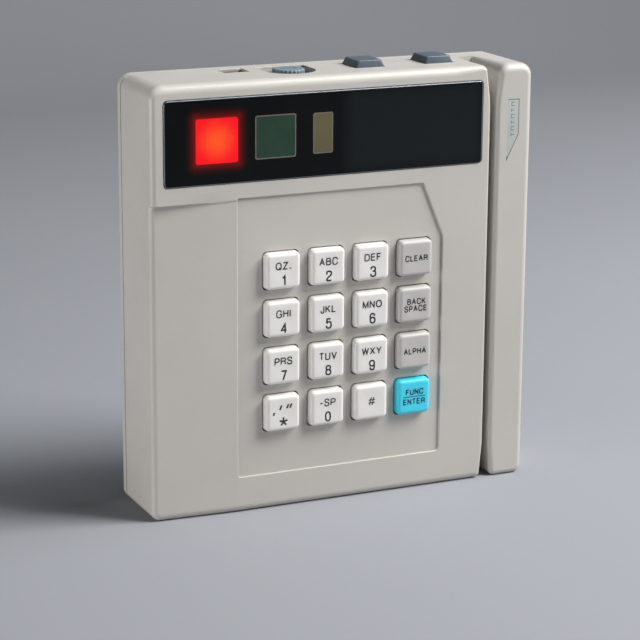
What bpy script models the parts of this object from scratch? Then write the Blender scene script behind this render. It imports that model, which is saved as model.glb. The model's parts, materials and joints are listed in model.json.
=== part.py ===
"""Card reader terminal: a keypad terminal that stands on its bottom edge, with a swipe slot at its right.

Lengths are in millimetres in a design frame: x runs right from the housing's left side, y runs back
from its front face, and z runs up from its bottom. add_object() turns them into metres, with the
world's origin at the bottom centre of the whole object's box.
"""

import math

import bmesh
import bpy
from mathutils import Vector

X_AXIS, Y_AXIS, Z_AXIS = 0, 1, 2

# Driving dimensions
GAP = 0.3                        # left between pieces that touch
OVERCUT = 1.0                    # how far a cutter runs past the face it cuts
WALL = 2.3                       # moulded side walls
FRONT_WALL = 3.4                 # moulded front wall
HEIGHT = 171.0
BODY_WIDTH = 143.3
RAIL_LEFT = 146.0                # the slot is between the body's side and the rail
RAIL_RIGHT = 162.0
PARTING_Y = 33.0                 # rear edge of the front mouldings
BACK_Y = 38.6                    # rear face of the rear cover
SLOT_FLOOR_Y = 25.3              # the card's long edge runs here
FLARE = 1.4                      # how far each side of the slot opens at its ends
FLARE_LENGTH = 14.0
EDGE_RADIUS = 2.0
TOP_CORNER = 5.5
BOTTOM_CORNER = 3.5
SHELL_CORNER_STEPS = 4
ROOT = 0.5                       # how far a rib, post or boss runs into the wall it stands on

# Lower left of the front face: it leans back from the keypad panel to the left side
LEAN_TOP = 125.6
LEAN_DEPTH = 2.0

# Keypad
PANEL_LEFT, PANEL_RIGHT = 34.8, 122.9
PANEL_BOTTOM, PANEL_TOP = 14.5, 126.0
PANEL_CUT_X, PANEL_CUT_Z = 114.0, 104.3      # the cut corner runs between these
PANEL_DEPTH = 0.8
KEY_PITCH = 19.05
KEY_LEFT, KEY_TOP = 53.05, 96.5              # centre of the first key
KEY_SIZE = 14.6
KEY_HOLE_SIZE = KEY_SIZE + 0.8
KEY_RISE = 3.2                               # above the panel
KEY_TRAVEL = 2.2
KEY_BEVEL = 0.7
KEY_BEVEL_SIZE, KEY_TOP_SIZE = KEY_SIZE - 0.6, KEY_SIZE - 2.0
KEY_NAMES = ("key_1", "key_2", "key_3", "key_clear",
             "key_4", "key_5", "key_6", "key_back_space",
             "key_7", "key_8", "key_9", "key_alpha",
             "key_star", "key_0", "key_hash", "key_enter")
FLANGE_SIZE = 18.4
FLANGE_THICKNESS = 1.2
POST_SIZE = 6.0
POST_LENGTH = 0.4
DOME_HEIGHT = 1.3
DOME_FOOT_RADIUS, DOME_TOP_RADIUS = 4.6, 3.4
MAT_THICKNESS = 1.0
MAT_MARGIN = 1.0                             # beyond the outer keys' flanges
BOARD_THICKNESS = 1.6
KEYPAD_BOARD = (36.8, 121.1, 16.3, 121.2)
PILLAR_X, PILLAR_Z = (38.8, 119.1), (19.3, 117.2)
PILLAR_RADIUS = 2.0

# Window and lamps behind it: (left, right, bottom, top)
WINDOW = (5.1, 139.5, 132.2, 165.2)
WINDOW_PROUD = 0.35
WINDOW_THICKNESS = 1.5
WINDOW_LEDGE = 2.2
WINDOW_CORNER = 1.3
LENSES = {"red": (17.8, 35.0, 140.4, 157.7),
          "green": (42.0, 58.9, 140.7, 157.5),
          "amber": (66.0, 74.4, 141.2, 157.1)}
LENS_FRONT = 1.75
LENS_THICKNESS = 1.5
LENS_CORNER = 0.8
DIVIDER = (10.0, 79.0, 135.0, 162.4)
DIVIDER_FRONT = 2.0
LAMP_PROFILE = ((2.4, 0.0), (2.4, 2.6), (1.9, 3.7), (0.85, 4.3))     # (radius, height)
DISPLAY = (84.0, 135.0, 136.8, 160.8)
DISPLAY_BOARD = (8.0, 137.0, 134.8, 162.8)
DISPLAY_BOARD_Y = 9.1
CABLE_X = (98.0, 118.0)
CABLE_Z = (135.8, 142.8)
CABLE_THICKNESS = 0.6

# Top face
JACK_X = (38.2, 48.5)
JACK_Y = (21.0, 29.6)
JACK_DEPTH = 13.0
JACK_LENGTH = 18.0
JACK_WALL = 1.4
LATCH_HALF_WIDTH, LATCH_DEPTH = 3.0, 1.6
SHELL_CLEARANCE = 0.1                        # between the socket and the opening over it
DIAL_X, DIAL_Y = 65.5, 22.3
DIAL_RADIUS = 6.4
DIAL_WELL_X, DIAL_WELL_Y, DIAL_WELL_RADIUS = 64.5, 19.0, 10.1
DIAL_WELL_BACK_Y = 29.4
DIAL_RISE = 0.2                              # above the top face
DIAL_HEIGHT = 6.0
DIAL_TEETH = 24
TOOTH_DEPTH = 0.5
DIAL_GROOVE = (3.6, 0.6, 0.9)                # half length, half width, depth
DIAL_SHAFT_RADIUS, DIAL_SHAFT_LENGTH = 2.0, 2.2
DIAL_CONTROL_SIZE = 11.0
BUTTON_X = {"left": 96.6, "right": 126.7}
BUTTON_Y = 20.2
BUTTON_WIDTH, BUTTON_DEPTH = 12.5, 13.8
BUTTON_RISE = 2.9
BUTTON_INSET = 0.8
BUTTON_TRAVEL = 1.5
BUTTON_CORNER = 0.9
BUTTON_FLANGE, BUTTON_FLANGE_THICKNESS = 1.0, 1.2
BUTTON_FOOT_INSET, BUTTON_FOOT_LENGTH = 4.0, 2.5
BUTTON_SWITCH_SIZE = 6.0
TOP_BOARD_X, TOP_BOARD_Y, TOP_BOARD_Z = (52.0, 138.0), (12.0, 31.0), 157.9

# Card reading
HEAD_Y, HEAD_Z = 14.0, 95.0
HEAD_WIDTH, HEAD_HEIGHT, HEAD_LENGTH = 9.0, 12.0, 9.5
HEAD_PROUD = 0.6                             # into the slot
HEAD_NOSE = 1.6
HEAD_HOLE_MARGIN = 0.5
LEAF_THICKNESS = 0.5
LEAF_HALF_WIDTH, LEAF_HALF_LENGTH = 2.0, 22.0
STRIP_THICKNESS = 0.5
STRIP_INSET = 3.0                            # from the slot's ends

# Boards, screws and feet
MAIN_BOARD = (11.0, 132.0, 11.0, 150.0)
MAIN_BOARD_Y = 20.0
BOARD_POST_X, BOARD_POST_Z = (16.0, 127.0), (23.0, 138.0)
BOARD_POST_RADIUS = 2.5
PROCESSOR, PROCESSOR_THICKNESS = (60.0, 95.0, 110.0, 124.0), 3.4
TRANSFORMER, TRANSFORMER_THICKNESS = (60.0, 82.0, 122.0, 140.0), 11.0
BUZZER_PLACE, BUZZER_RADIUS, BUZZER_THICKNESS = (105.0, 60.0), 8.0, 6.0
BATTERY_PLACE, BATTERY_RADIUS, BATTERY_THICKNESS = (40.0, 60.0), 10.0, 3.2
LABEL_RECESS, LABEL_RECESS_DEPTH = (46.0, 116.0, 62.0, 108.0), 0.4
LIP_THICKNESS, LIP_REACH = 1.2, 2.0
LIP_LOW, LIP_HIGH = 20.0, 135.0
SCREW_HEAD_RADIUS, SCREW_HEAD_HEIGHT = 2.8, 1.4
SCREW_SHANK_RADIUS = 1.4
SCREW_CORNER = 0.4
SCREW_TIP = 1.0
DRIVE_SLOT = (1.8, 0.35, 0.7)                # half length, half width, depth
BOSS_RADIUS = 3.4
BOSS_LENGTH, BORE_LENGTH = 21.0, 19.0
SEAT_RADIUS = BOSS_RADIUS + 0.8              # round the screws, inside the rear cover
COVER_SCREWS = {"lower_left": (5.2, 8.0), "upper_left": (5.2, 148.0),
                "lower_right": (154.0, 8.0), "upper_right": (154.0, 148.0)}
COVER_SCREW_LENGTH = 14.0
RAIL_SCREWS = {"lower": 30.0, "upper": 140.0}
RAIL_SCREW_Y = 29.0
RAIL_SCREW_LENGTH = 8.0
FOOT_RADIUS = 5.5
FOOT_THICKNESS = 2.4
FOOT_RECESS = 0.8
FOOT_BEVEL = 0.5
FEET = {"lower_left": (16.0, 22.0), "upper_left": (16.0, 160.0),
        "lower_right": (146.0, 22.0), "upper_right": (146.0, 160.0)}

# Worked out from the driving dimensions
KEY_FACE_Y = PANEL_DEPTH - KEY_RISE
FLANGE_Y = FRONT_WALL + GAP
KEY_POST_Y = FLANGE_Y + FLANGE_THICKNESS + POST_LENGTH
DOME_Y = KEY_POST_Y + KEY_TRAVEL + GAP
MAT_Y = DOME_Y + DOME_HEIGHT
KEYPAD_BOARD_Y = MAT_Y + MAT_THICKNESS + GAP
COVER_Y = PARTING_Y + GAP
FOOT_BACK_Y = BACK_Y - FOOT_RECESS + FOOT_THICKNESS
CAVITY_RIGHT = BODY_WIDTH - 2.9              # the wall beside the slot is thicker
RAIL_CAVITY_LEFT = RAIL_LEFT + 2.5
BORE_RADIUS = SCREW_SHANK_RADIUS + GAP
TOP_WALL_Z = HEIGHT - WALL
ORIGIN = Vector((RAIL_RIGHT / 2, (KEY_FACE_Y + FOOT_BACK_Y) / 2, 0.0))
METRES = 0.001


# Outlines

def rounded_outline(corners, steps=3):
    """Closed outline through (u, v, radius) corners, each turned on an arc of its own radius."""
    points = []
    for index, (u, v, radius) in enumerate(corners):
        corner = Vector((u, v))
        if radius == 0:
            points.append(corner)
            continue
        before = (Vector(corners[index - 1][:2]) - corner).normalized()
        after = (Vector(corners[(index + 1) % len(corners)][:2]) - corner).normalized()
        half = before.angle(after) / 2
        centre = corner + (before + after).normalized() * radius / math.sin(half)
        start = corner + before * radius / math.tan(half) - centre
        end = corner + after * radius / math.tan(half) - centre
        sweep = start.angle(end)
        for step in range(steps + 1):
            turned = sweep * step / steps
            arc = start * math.sin(sweep - turned) + end * math.sin(turned)
            points.append(centre + arc / math.sin(sweep))
    return points


def rectangle(left, right, low, high, radius=0.0, steps=3):
    corners = ((left, low), (right, low), (right, high), (left, high))
    return rounded_outline([(u, v, radius) for u, v in corners], steps)


def square(centre_u, centre_v, size, radius=0.0, steps=2):
    half = size / 2
    return rectangle(centre_u - half, centre_u + half, centre_v - half, centre_v + half, radius, steps)


def circle(centre_u, centre_v, radius, count=20):
    turns = [2 * math.pi * index / count for index in range(count)]
    return [Vector((centre_u + radius * math.cos(turn), centre_v + radius * math.sin(turn)))
            for turn in turns]


def grown(frame, margin):
    left, right, low, high = frame
    return left - margin, right + margin, low - margin, high + margin


# Solids

def loft(sections, axis):
    """Solid through (outline, level) sections, whose outlines lie across the axis."""
    bm = bmesh.new()
    rings = []
    for outline, level in sections:
        ring = []
        for point in outline:
            place = list(point)
            place.insert(axis, level)
            ring.append(bm.verts.new(place))
        rings.append(ring)
    bm.faces.new(rings[0])
    bm.faces.new(rings[-1])
    for ring, following in zip(rings, rings[1:]):
        for index in range(len(ring)):
            bm.faces.new((ring[index - 1], ring[index], following[index], following[index - 1]))
    bmesh.ops.recalc_face_normals(bm, faces=bm.faces)
    return bm


def prism(outline, axis, low, high):
    return loft([(outline, low), (outline, high)], axis)


def box(x_range, y_range, z_range):
    return prism(rectangle(*x_range, *y_range), Z_AXIS, *z_range)


def plate(frame, y_low, y_high, radius=0.0):
    """Upright plate with a (left, right, bottom, top) frame."""
    return prism(rectangle(*frame, radius), Y_AXIS, y_low, y_high)


def merged(pieces):
    """One mesh holding every piece, for a cutter with several separate bodies."""
    result = bmesh.new()
    for piece in pieces:
        mesh = bpy.data.meshes.new("merging")
        piece.to_mesh(mesh)
        piece.free()
        result.from_mesh(mesh)
        bpy.data.meshes.remove(mesh)
    return result


def bevel_rim(bm, axis, level, radius, segments=3):
    """Round the edges of the face that lies across the axis at this level."""
    rim = [edge for edge in bm.edges if all(abs(vert.co[axis] - level) < 1e-4 for vert in edge.verts)]
    bmesh.ops.bevel(bm, geom=rim, offset=radius, segments=segments, profile=0.5, affect="EDGES")
    return bm


# Objects

def add_material(name, colour, roughness, metallic=0.0):
    material = bpy.data.materials.new(name)
    material.use_nodes = True
    shader = material.node_tree.nodes["Principled BSDF"]
    shader.inputs["Base Color"].default_value = (*colour, 1.0)
    shader.inputs["Roughness"].default_value = roughness
    shader.inputs["Metallic"].default_value = metallic
    return material


def add_object(name, bm, pivot=ORIGIN):
    """Object whose own origin is at the pivot, given in the design frame."""
    bmesh.ops.translate(bm, verts=bm.verts, vec=-Vector(pivot))
    bmesh.ops.scale(bm, verts=bm.verts, vec=(METRES, METRES, METRES))
    mesh = bpy.data.meshes.new(name)
    bm.to_mesh(mesh)
    bm.free()
    piece = bpy.data.objects.new(name, mesh)
    piece.location = (Vector(pivot) - ORIGIN) * METRES
    bpy.context.scene.collection.objects.link(piece)
    return piece


def add_part(name, bm, material, pivot=ORIGIN, smooth=False):
    part = add_object(name, bm, pivot)
    part.data.materials.append(material)
    if smooth:
        part.data.shade_smooth()
        part.data.set_sharp_from_angle(angle=math.radians(35))
    return part


def combine(part, bm, operation, label):
    """Boolean of the part with a guide object, which is kept as a wire."""
    guide = add_object(f"{part.name}_{label}", bm)
    guide.hide_render = True
    guide.display_type = "WIRE"
    modifier = part.modifiers.new(label, "BOOLEAN")
    modifier.operation = operation
    modifier.solver = "EXACT"
    modifier.object = guide


def cut(part, bm, label):
    combine(part, bm, "DIFFERENCE", label)


def join(part, bm, label):
    combine(part, bm, "UNION", label)


# Housing, rail and cover

def slot_flares(side_x, direction):
    """Wedges that open one side of the slot towards its top and bottom ends."""
    wedges = []
    for end, inward in ((HEIGHT, -1), (0.0, 1)):
        slope = (FLARE + FLARE * OVERCUT / FLARE_LENGTH) * direction
        outline = [Vector((side_x, end + inward * FLARE_LENGTH)),
                   Vector((side_x + slope, end - inward * OVERCUT)),
                   Vector((side_x - direction * OVERCUT, end - inward * OVERCUT)),
                   Vector((side_x - direction * OVERCUT, end + inward * FLARE_LENGTH))]
        wedges.append(prism(outline, Y_AXIS, -OVERCUT, SLOT_FLOOR_Y))
    return merged(wedges)


def front_lean():
    """Takes the lower left of the front face back, with the left edge rounded."""
    outline = [Vector((-OVERCUT, -OVERCUT)), Vector((PANEL_LEFT, -OVERCUT)), Vector((PANEL_LEFT, 0.0))]
    for step in range(5):
        turned = math.pi / 2 * step / 4
        outline.append(Vector((EDGE_RADIUS * (1 - math.sin(turned)),
                               LEAN_DEPTH + EDGE_RADIUS * (1 - math.cos(turned)))))
    outline.append(Vector((-OVERCUT, LEAN_DEPTH + EDGE_RADIUS)))
    return prism(outline, Z_AXIS, -OVERCUT, LEAN_TOP)


def panel_outline():
    corners = [(PANEL_LEFT, PANEL_BOTTOM), (PANEL_RIGHT, PANEL_BOTTOM), (PANEL_RIGHT, PANEL_CUT_Z),
               (PANEL_CUT_X, PANEL_TOP), (PANEL_LEFT, PANEL_TOP)]
    return [Vector(corner) for corner in corners]


def key_places():
    """Each key's name with the centre of its cap."""
    for index, name in enumerate(KEY_NAMES):
        row, column = divmod(index, 4)
        yield name, KEY_LEFT + column * KEY_PITCH, KEY_TOP - row * KEY_PITCH


def dial_well():
    outline = [Vector((DIAL_WELL_X - DIAL_WELL_RADIUS, DIAL_WELL_BACK_Y))]
    for step in range(17):
        turned = math.pi * (1 + step / 16)
        outline.append(Vector((DIAL_WELL_X + DIAL_WELL_RADIUS * math.cos(turned),
                               DIAL_WELL_Y + DIAL_WELL_RADIUS * math.sin(turned))))
    outline.append(Vector((DIAL_WELL_X + DIAL_WELL_RADIUS, DIAL_WELL_BACK_Y)))
    return prism(outline, Z_AXIS, TOP_WALL_Z - OVERCUT, HEIGHT + OVERCUT)


def top_openings():
    levels = (TOP_WALL_Z - OVERCUT, HEIGHT + OVERCUT)
    openings = [dial_well(), box(JACK_X, JACK_Y, levels)]
    reach = BUTTON_WIDTH / 2 + GAP
    button_y = (BUTTON_Y - BUTTON_DEPTH / 2 - GAP, BUTTON_Y + BUTTON_DEPTH / 2 + GAP)
    for centre in BUTTON_X.values():
        openings.append(box((centre - reach, centre + reach), button_y, levels))
    return merged(openings)


def screw_holes(names, y_low, radius):
    holes = [prism(circle(*COVER_SCREWS[name], radius), Y_AXIS, y_low, BACK_Y + OVERCUT) for name in names]
    return merged(holes)


def rail_screw_holes(x_low, x_high):
    outlines = [circle(RAIL_SCREW_Y, z, BORE_RADIUS, 12) for z in RAIL_SCREWS.values()]
    return merged([prism(outline, X_AXIS, x_low, x_high) for outline in outlines])


def housing_bosses():
    """Bosses for the rear cover's screws, and pillars for the keypad's board."""
    bosses = [prism(circle(*COVER_SCREWS[name], BOSS_RADIUS, 16), Y_AXIS, PARTING_Y - BOSS_LENGTH, PARTING_Y)
              for name in ("lower_left", "upper_left")]
    for x in PILLAR_X:
        for z in PILLAR_Z:
            pillar = circle(x, z, PILLAR_RADIUS, 12)
            bosses.append(prism(pillar, Y_AXIS, FRONT_WALL - ROOT, KEYPAD_BOARD_Y - GAP))
    return bosses


def build_front_housing(material):
    outline = rounded_outline([(0, 0, BOTTOM_CORNER), (BODY_WIDTH, 0, 0), (BODY_WIDTH, HEIGHT, 0),
                               (0, HEIGHT, TOP_CORNER)], SHELL_CORNER_STEPS)
    shell = bevel_rim(prism(outline, Y_AXIS, 0, PARTING_Y), Y_AXIS, 0, EDGE_RADIUS)
    housing = add_part("front_housing", shell, material)
    cavity = (WALL, CAVITY_RIGHT, WALL, TOP_WALL_Z)
    cut(housing, plate(cavity, FRONT_WALL, PARTING_Y + OVERCUT, 2.0), "cavity")
    cut(housing, front_lean(), "lean")
    cut(housing, slot_flares(BODY_WIDTH, -1), "flares")
    cut(housing, prism(panel_outline(), Y_AXIS, -OVERCUT, PANEL_DEPTH), "panel")
    join(housing, merged(housing_bosses()), "bosses")
    opening = grown(WINDOW, -WINDOW_LEDGE)
    pocket_floor = WINDOW_THICKNESS - WINDOW_PROUD + GAP
    cut(housing, plate(grown(WINDOW, GAP), -OVERCUT, pocket_floor, WINDOW_CORNER + GAP), "pocket")
    cut(housing, plate(opening, 0, FRONT_WALL + OVERCUT, 1.0), "window")
    key_holes = [prism(square(x, z, KEY_HOLE_SIZE, 1.4), Y_AXIS, 0, FRONT_WALL + OVERCUT)
                 for _, x, z in key_places()]
    cut(housing, merged(key_holes), "key_holes")
    cut(housing, top_openings(), "top_openings")
    head_hole = square(HEAD_Y, HEAD_Z, HEAD_HEIGHT + 2 * HEAD_HOLE_MARGIN)
    cut(housing, prism(head_hole, X_AXIS, CAVITY_RIGHT - OVERCUT, BODY_WIDTH + OVERCUT), "head_hole")
    cut(housing, rail_screw_holes(CAVITY_RIGHT - OVERCUT, BODY_WIDTH + OVERCUT), "rail_screws")
    bores = screw_holes(("lower_left", "upper_left"), PARTING_Y - BORE_LENGTH, BORE_RADIUS)
    cut(housing, bores, "screw_bores")


def build_card_rail(material):
    outline = rounded_outline([(RAIL_LEFT, 0, 0), (RAIL_RIGHT, 0, BOTTOM_CORNER),
                               (RAIL_RIGHT, HEIGHT, TOP_CORNER), (RAIL_LEFT, HEIGHT, 0)], SHELL_CORNER_STEPS)
    bar = bevel_rim(prism(outline, Y_AXIS, 0, PARTING_Y), Y_AXIS, 0, EDGE_RADIUS)
    rail = add_part("card_rail", bar, material)
    cut(rail, slot_flares(RAIL_LEFT, 1), "flares")
    cavity = (RAIL_CAVITY_LEFT, RAIL_RIGHT - WALL, WALL, TOP_WALL_Z)
    cut(rail, plate(cavity, FRONT_WALL, PARTING_Y + OVERCUT, 1.5), "cavity")
    web_x = (RAIL_CAVITY_LEFT - ROOT, RAIL_RIGHT - WALL + ROOT)
    webs = []
    for name in ("lower_right", "upper_right"):
        _, z = COVER_SCREWS[name]
        webs.append(box(web_x, (FRONT_WALL - ROOT, PARTING_Y), (z - BOSS_RADIUS, z + BOSS_RADIUS)))
    join(rail, merged(webs), "webs")
    bores = screw_holes(("lower_right", "upper_right"), PARTING_Y - BORE_LENGTH, BORE_RADIUS)
    cut(rail, bores, "screw_bores")
    cut(rail, rail_screw_holes(RAIL_LEFT - OVERCUT, RAIL_CAVITY_LEFT + OVERCUT), "rail_screws")


def build_slot_floor(material, strip_material):
    """Bar that holds the rail at the slot's width, and the wear strip that the card's edge runs on."""
    width = (BODY_WIDTH + GAP, RAIL_LEFT - GAP)
    spacer = add_part("slot_spacer", box(width, (SLOT_FLOOR_Y, PARTING_Y), (0, HEIGHT)), material)
    cut(spacer, rail_screw_holes(BODY_WIDTH, RAIL_LEFT), "rail_screws")
    strip_back = SLOT_FLOOR_Y - GAP
    strip = box(width, (strip_back - STRIP_THICKNESS, strip_back), (STRIP_INSET, HEIGHT - STRIP_INSET))
    add_part("slot_floor_strip", strip, strip_material)


def cover_ribs(floor_y):
    """Lips inside the housing's walls, posts behind the main board and seats round the screws."""
    lip_y = (PARTING_Y - LIP_REACH, floor_y + ROOT)
    lip_place = (WALL + GAP, WALL + GAP + LIP_THICKNESS)
    side_lip = box(lip_place, lip_y, (LIP_LOW, LIP_HIGH))
    bottom_lip = box((LIP_LOW, LIP_HIGH), lip_y, lip_place)
    ribs = [side_lip, bottom_lip]
    post_y = MAIN_BOARD_Y + BOARD_THICKNESS + GAP
    for x in BOARD_POST_X:
        for z in BOARD_POST_Z:
            ribs.append(prism(circle(x, z, BOARD_POST_RADIUS, 14), Y_AXIS, post_y, floor_y + ROOT))
    for place in COVER_SCREWS.values():
        ribs.append(prism(circle(*place, SEAT_RADIUS, 16), Y_AXIS, COVER_Y, floor_y + ROOT))
    return ribs


def build_rear_cover(material):
    outline = rounded_outline([(0, 0, BOTTOM_CORNER), (RAIL_RIGHT, 0, BOTTOM_CORNER),
                               (RAIL_RIGHT, HEIGHT, TOP_CORNER), (0, HEIGHT, TOP_CORNER)], SHELL_CORNER_STEPS)
    tray = bevel_rim(prism(outline, Y_AXIS, COVER_Y, BACK_Y), Y_AXIS, BACK_Y, EDGE_RADIUS)
    cover = add_part("rear_cover", tray, material)
    inside = (WALL, RAIL_RIGHT - WALL, WALL, TOP_WALL_Z)
    floor_y = BACK_Y - WALL
    cut(cover, plate(inside, COVER_Y - OVERCUT, floor_y, 2.0), "inside")
    join(cover, merged(cover_ribs(floor_y)), "ribs")
    cut(cover, screw_holes(COVER_SCREWS, COVER_Y - OVERCUT, BORE_RADIUS), "screw_holes")
    sinks = screw_holes(COVER_SCREWS, BACK_Y - SCREW_HEAD_HEIGHT - 2 * GAP, SCREW_HEAD_RADIUS + GAP)
    cut(cover, sinks, "screw_sinks")
    foot_floor = BACK_Y - FOOT_RECESS - GAP
    recesses = [prism(circle(*place, FOOT_RADIUS + GAP, 24), Y_AXIS, foot_floor, BACK_Y + OVERCUT)
                for place in FEET.values()]
    recesses.append(plate(LABEL_RECESS, BACK_Y - LABEL_RECESS_DEPTH, BACK_Y + OVERCUT, 2.0))
    cut(cover, merged(recesses), "recesses")


# Keypad

def build_key(name, x, z, material):
    sections = [(square(x, z, POST_SIZE, 1.0), KEY_POST_Y),
                (square(x, z, POST_SIZE, 1.0), FLANGE_Y + FLANGE_THICKNESS),
                (square(x, z, FLANGE_SIZE, 1.4), FLANGE_Y + FLANGE_THICKNESS),
                (square(x, z, FLANGE_SIZE, 1.4), FLANGE_Y),
                (square(x, z, KEY_SIZE, 1.2), FLANGE_Y),
                (square(x, z, KEY_SIZE, 1.2), PANEL_DEPTH),
                (square(x, z, KEY_BEVEL_SIZE, 1.2), KEY_FACE_Y + KEY_BEVEL),
                (square(x, z, KEY_TOP_SIZE, 1.2), KEY_FACE_Y)]
    add_part(name, loft(sections, Y_AXIS), material, pivot=(x, KEY_FACE_Y, z), smooth=True)


def build_keypad(materials):
    for name, x, z in key_places():
        if name == "key_enter":
            material = materials["key_blue"]
        elif name in ("key_clear", "key_back_space", "key_alpha"):
            material = materials["key_grey"]
        else:
            material = materials["key_white"]
        build_key(name, x, z, material)
    reach = FLANGE_SIZE / 2 + MAT_MARGIN
    last_x, last_z = KEY_LEFT + 3 * KEY_PITCH, KEY_TOP - 3 * KEY_PITCH
    frame = (KEY_LEFT - reach, last_x + reach, last_z - reach, KEY_TOP + reach)
    sheet = plate(frame, MAT_Y, MAT_Y + MAT_THICKNESS, 1.0)
    mat = add_part("keypad_mat", sheet, materials["rubber_grey"])
    domes = [loft([(circle(x, z, DOME_FOOT_RADIUS, 16), MAT_Y + MAT_THICKNESS / 2),
                   (circle(x, z, DOME_FOOT_RADIUS, 16), MAT_Y),
                   (circle(x, z, DOME_TOP_RADIUS, 16), DOME_Y)], Y_AXIS) for _, x, z in key_places()]
    join(mat, merged(domes), "domes")
    board = plate(KEYPAD_BOARD, KEYPAD_BOARD_Y, KEYPAD_BOARD_Y + BOARD_THICKNESS)
    add_part("keypad_board", board, materials["board"])


# Window, lamps and display

def build_lamp(name, frame, material):
    x, z = (frame[0] + frame[1]) / 2, (frame[2] + frame[3]) / 2
    base = DISPLAY_BOARD_Y - GAP
    sections = [(circle(x, z, radius, 16), base - height) for radius, height in LAMP_PROFILE]
    add_part(name, loft(sections, Y_AXIS), material, smooth=True)


def build_display(materials):
    pane = plate(WINDOW, -WINDOW_PROUD, WINDOW_THICKNESS - WINDOW_PROUD, WINDOW_CORNER)
    add_part("display_window", bevel_rim(pane, Y_AXIS, -WINDOW_PROUD, 0.3, 2), materials["window"])
    lens_back = LENS_FRONT + LENS_THICKNESS
    front_of_board = DISPLAY_BOARD_Y - GAP
    divider = add_part("light_divider", plate(DIVIDER, DIVIDER_FRONT, front_of_board), materials["black"])
    wells = []
    tunnels = []
    for colour, frame in LENSES.items():
        material = materials[f"lens_{colour}"]
        add_part(f"{colour}_lens", plate(frame, LENS_FRONT, lens_back, LENS_CORNER), material)
        build_lamp(f"{colour}_lamp", frame, material)
        wells.append(plate(grown(frame, GAP), DIVIDER_FRONT - OVERCUT, lens_back + GAP, LENS_CORNER))
        tunnels.append(plate(grown(frame, -1.0), lens_back, DISPLAY_BOARD_Y))
    cut(divider, merged(wells), "wells")
    cut(divider, merged(tunnels), "tunnels")
    module = bevel_rim(plate(DISPLAY, DIVIDER_FRONT, front_of_board), Y_AXIS, DIVIDER_FRONT, 0.5, 1)
    add_part("display_module", module, materials["display"])
    board = plate(DISPLAY_BOARD, DISPLAY_BOARD_Y, DISPLAY_BOARD_Y + BOARD_THICKNESS)
    add_part("display_board", board, materials["board"])


# Top controls

def build_top_button(side, material, switch_material):
    x = BUTTON_X[side]
    half_width, half_depth = BUTTON_WIDTH / 2, BUTTON_DEPTH / 2

    def section(margin, level):
        outline = rectangle(x - half_width - margin, x + half_width + margin,
                            BUTTON_Y - half_depth - margin, BUTTON_Y + half_depth + margin, BUTTON_CORNER, 2)
        return outline, level

    flange_top = TOP_WALL_Z - GAP
    flange_bottom = flange_top - BUTTON_FLANGE_THICKNESS
    foot = flange_top - BUTTON_FOOT_LENGTH
    top = HEIGHT + BUTTON_RISE
    sections = [section(-BUTTON_FOOT_INSET, foot), section(-BUTTON_FOOT_INSET, flange_bottom),
                section(BUTTON_FLANGE, flange_bottom), section(BUTTON_FLANGE, flange_top),
                section(0.0, flange_top), section(0.0, HEIGHT), section(-BUTTON_INSET, top)]
    add_part(f"top_button_{side}", loft(sections, Z_AXIS), material, pivot=(x, BUTTON_Y, top), smooth=True)
    switch = prism(square(x, BUTTON_Y, BUTTON_SWITCH_SIZE), Z_AXIS,
                   TOP_BOARD_Z + BOARD_THICKNESS + GAP, foot - BUTTON_TRAVEL - GAP)
    add_part(f"button_switch_{side}", switch, switch_material)


def toothed_outline():
    """Circle of DIAL_TEETH flat teeth, each with a land, a flank and a root."""
    outline = []
    root_radius = DIAL_RADIUS - TOOTH_DEPTH
    for tooth in range(DIAL_TEETH):
        for share, radius in ((0.0, DIAL_RADIUS), (0.4, DIAL_RADIUS),
                              (0.5, root_radius), (0.9, root_radius)):
            turned = 2 * math.pi * (tooth + share) / DIAL_TEETH
            outline.append(Vector((DIAL_X + radius * math.cos(turned), DIAL_Y + radius * math.sin(turned))))
    return outline


def build_dial(material, control_material):
    """Toothed drum with its shaft below it, over a rotary control with a bore for the shaft."""
    top = HEIGHT + DIAL_RISE
    bottom = top - DIAL_HEIGHT
    shaft_end = bottom - DIAL_SHAFT_LENGTH
    dial = add_part("volume_dial", prism(toothed_outline(), Z_AXIS, bottom, top), material,
                    pivot=(DIAL_X, DIAL_Y, top))
    shaft = prism(circle(DIAL_X, DIAL_Y, DIAL_SHAFT_RADIUS), Z_AXIS, shaft_end, bottom + ROOT)
    join(dial, shaft, "shaft")
    half_length, half_width, depth = DIAL_GROOVE
    groove = box((DIAL_X - half_length, DIAL_X + half_length), (DIAL_Y - half_width, DIAL_Y + half_width),
                 (top - depth, top + OVERCUT))
    cut(dial, groove, "groove")
    control_top = bottom - GAP
    body = prism(square(DIAL_X, DIAL_Y, DIAL_CONTROL_SIZE, 1.0), Z_AXIS,
                 TOP_BOARD_Z + BOARD_THICKNESS + GAP, control_top)
    control = add_part("dial_control", body, control_material)
    bore = circle(DIAL_X, DIAL_Y, DIAL_SHAFT_RADIUS + GAP)
    cut(control, prism(bore, Z_AXIS, shaft_end - GAP, control_top + OVERCUT), "bore")


def build_phone_jack(material):
    left, right = JACK_X[0] + SHELL_CLEARANCE, JACK_X[1] - SHELL_CLEARANCE
    front, back = JACK_Y[0] + SHELL_CLEARANCE, JACK_Y[1] - SHELL_CLEARANCE
    top = TOP_WALL_Z - GAP
    sides_x = (left - JACK_WALL, right + JACK_WALL)
    sides_y = (front - LATCH_DEPTH - JACK_WALL, back + JACK_WALL)
    body = box(sides_x, sides_y, (top - JACK_LENGTH, top))
    jack = add_part("phone_jack", body, material)
    levels = (top - JACK_DEPTH, top + OVERCUT)
    cut(jack, box((left, right), (front, back), levels), "socket")
    middle = (left + right) / 2
    latch_x = (middle - LATCH_HALF_WIDTH, middle + LATCH_HALF_WIDTH)
    cut(jack, box(latch_x, (front - LATCH_DEPTH, front + OVERCUT), levels), "latch_channel")


# Card reading and electronics

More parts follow.
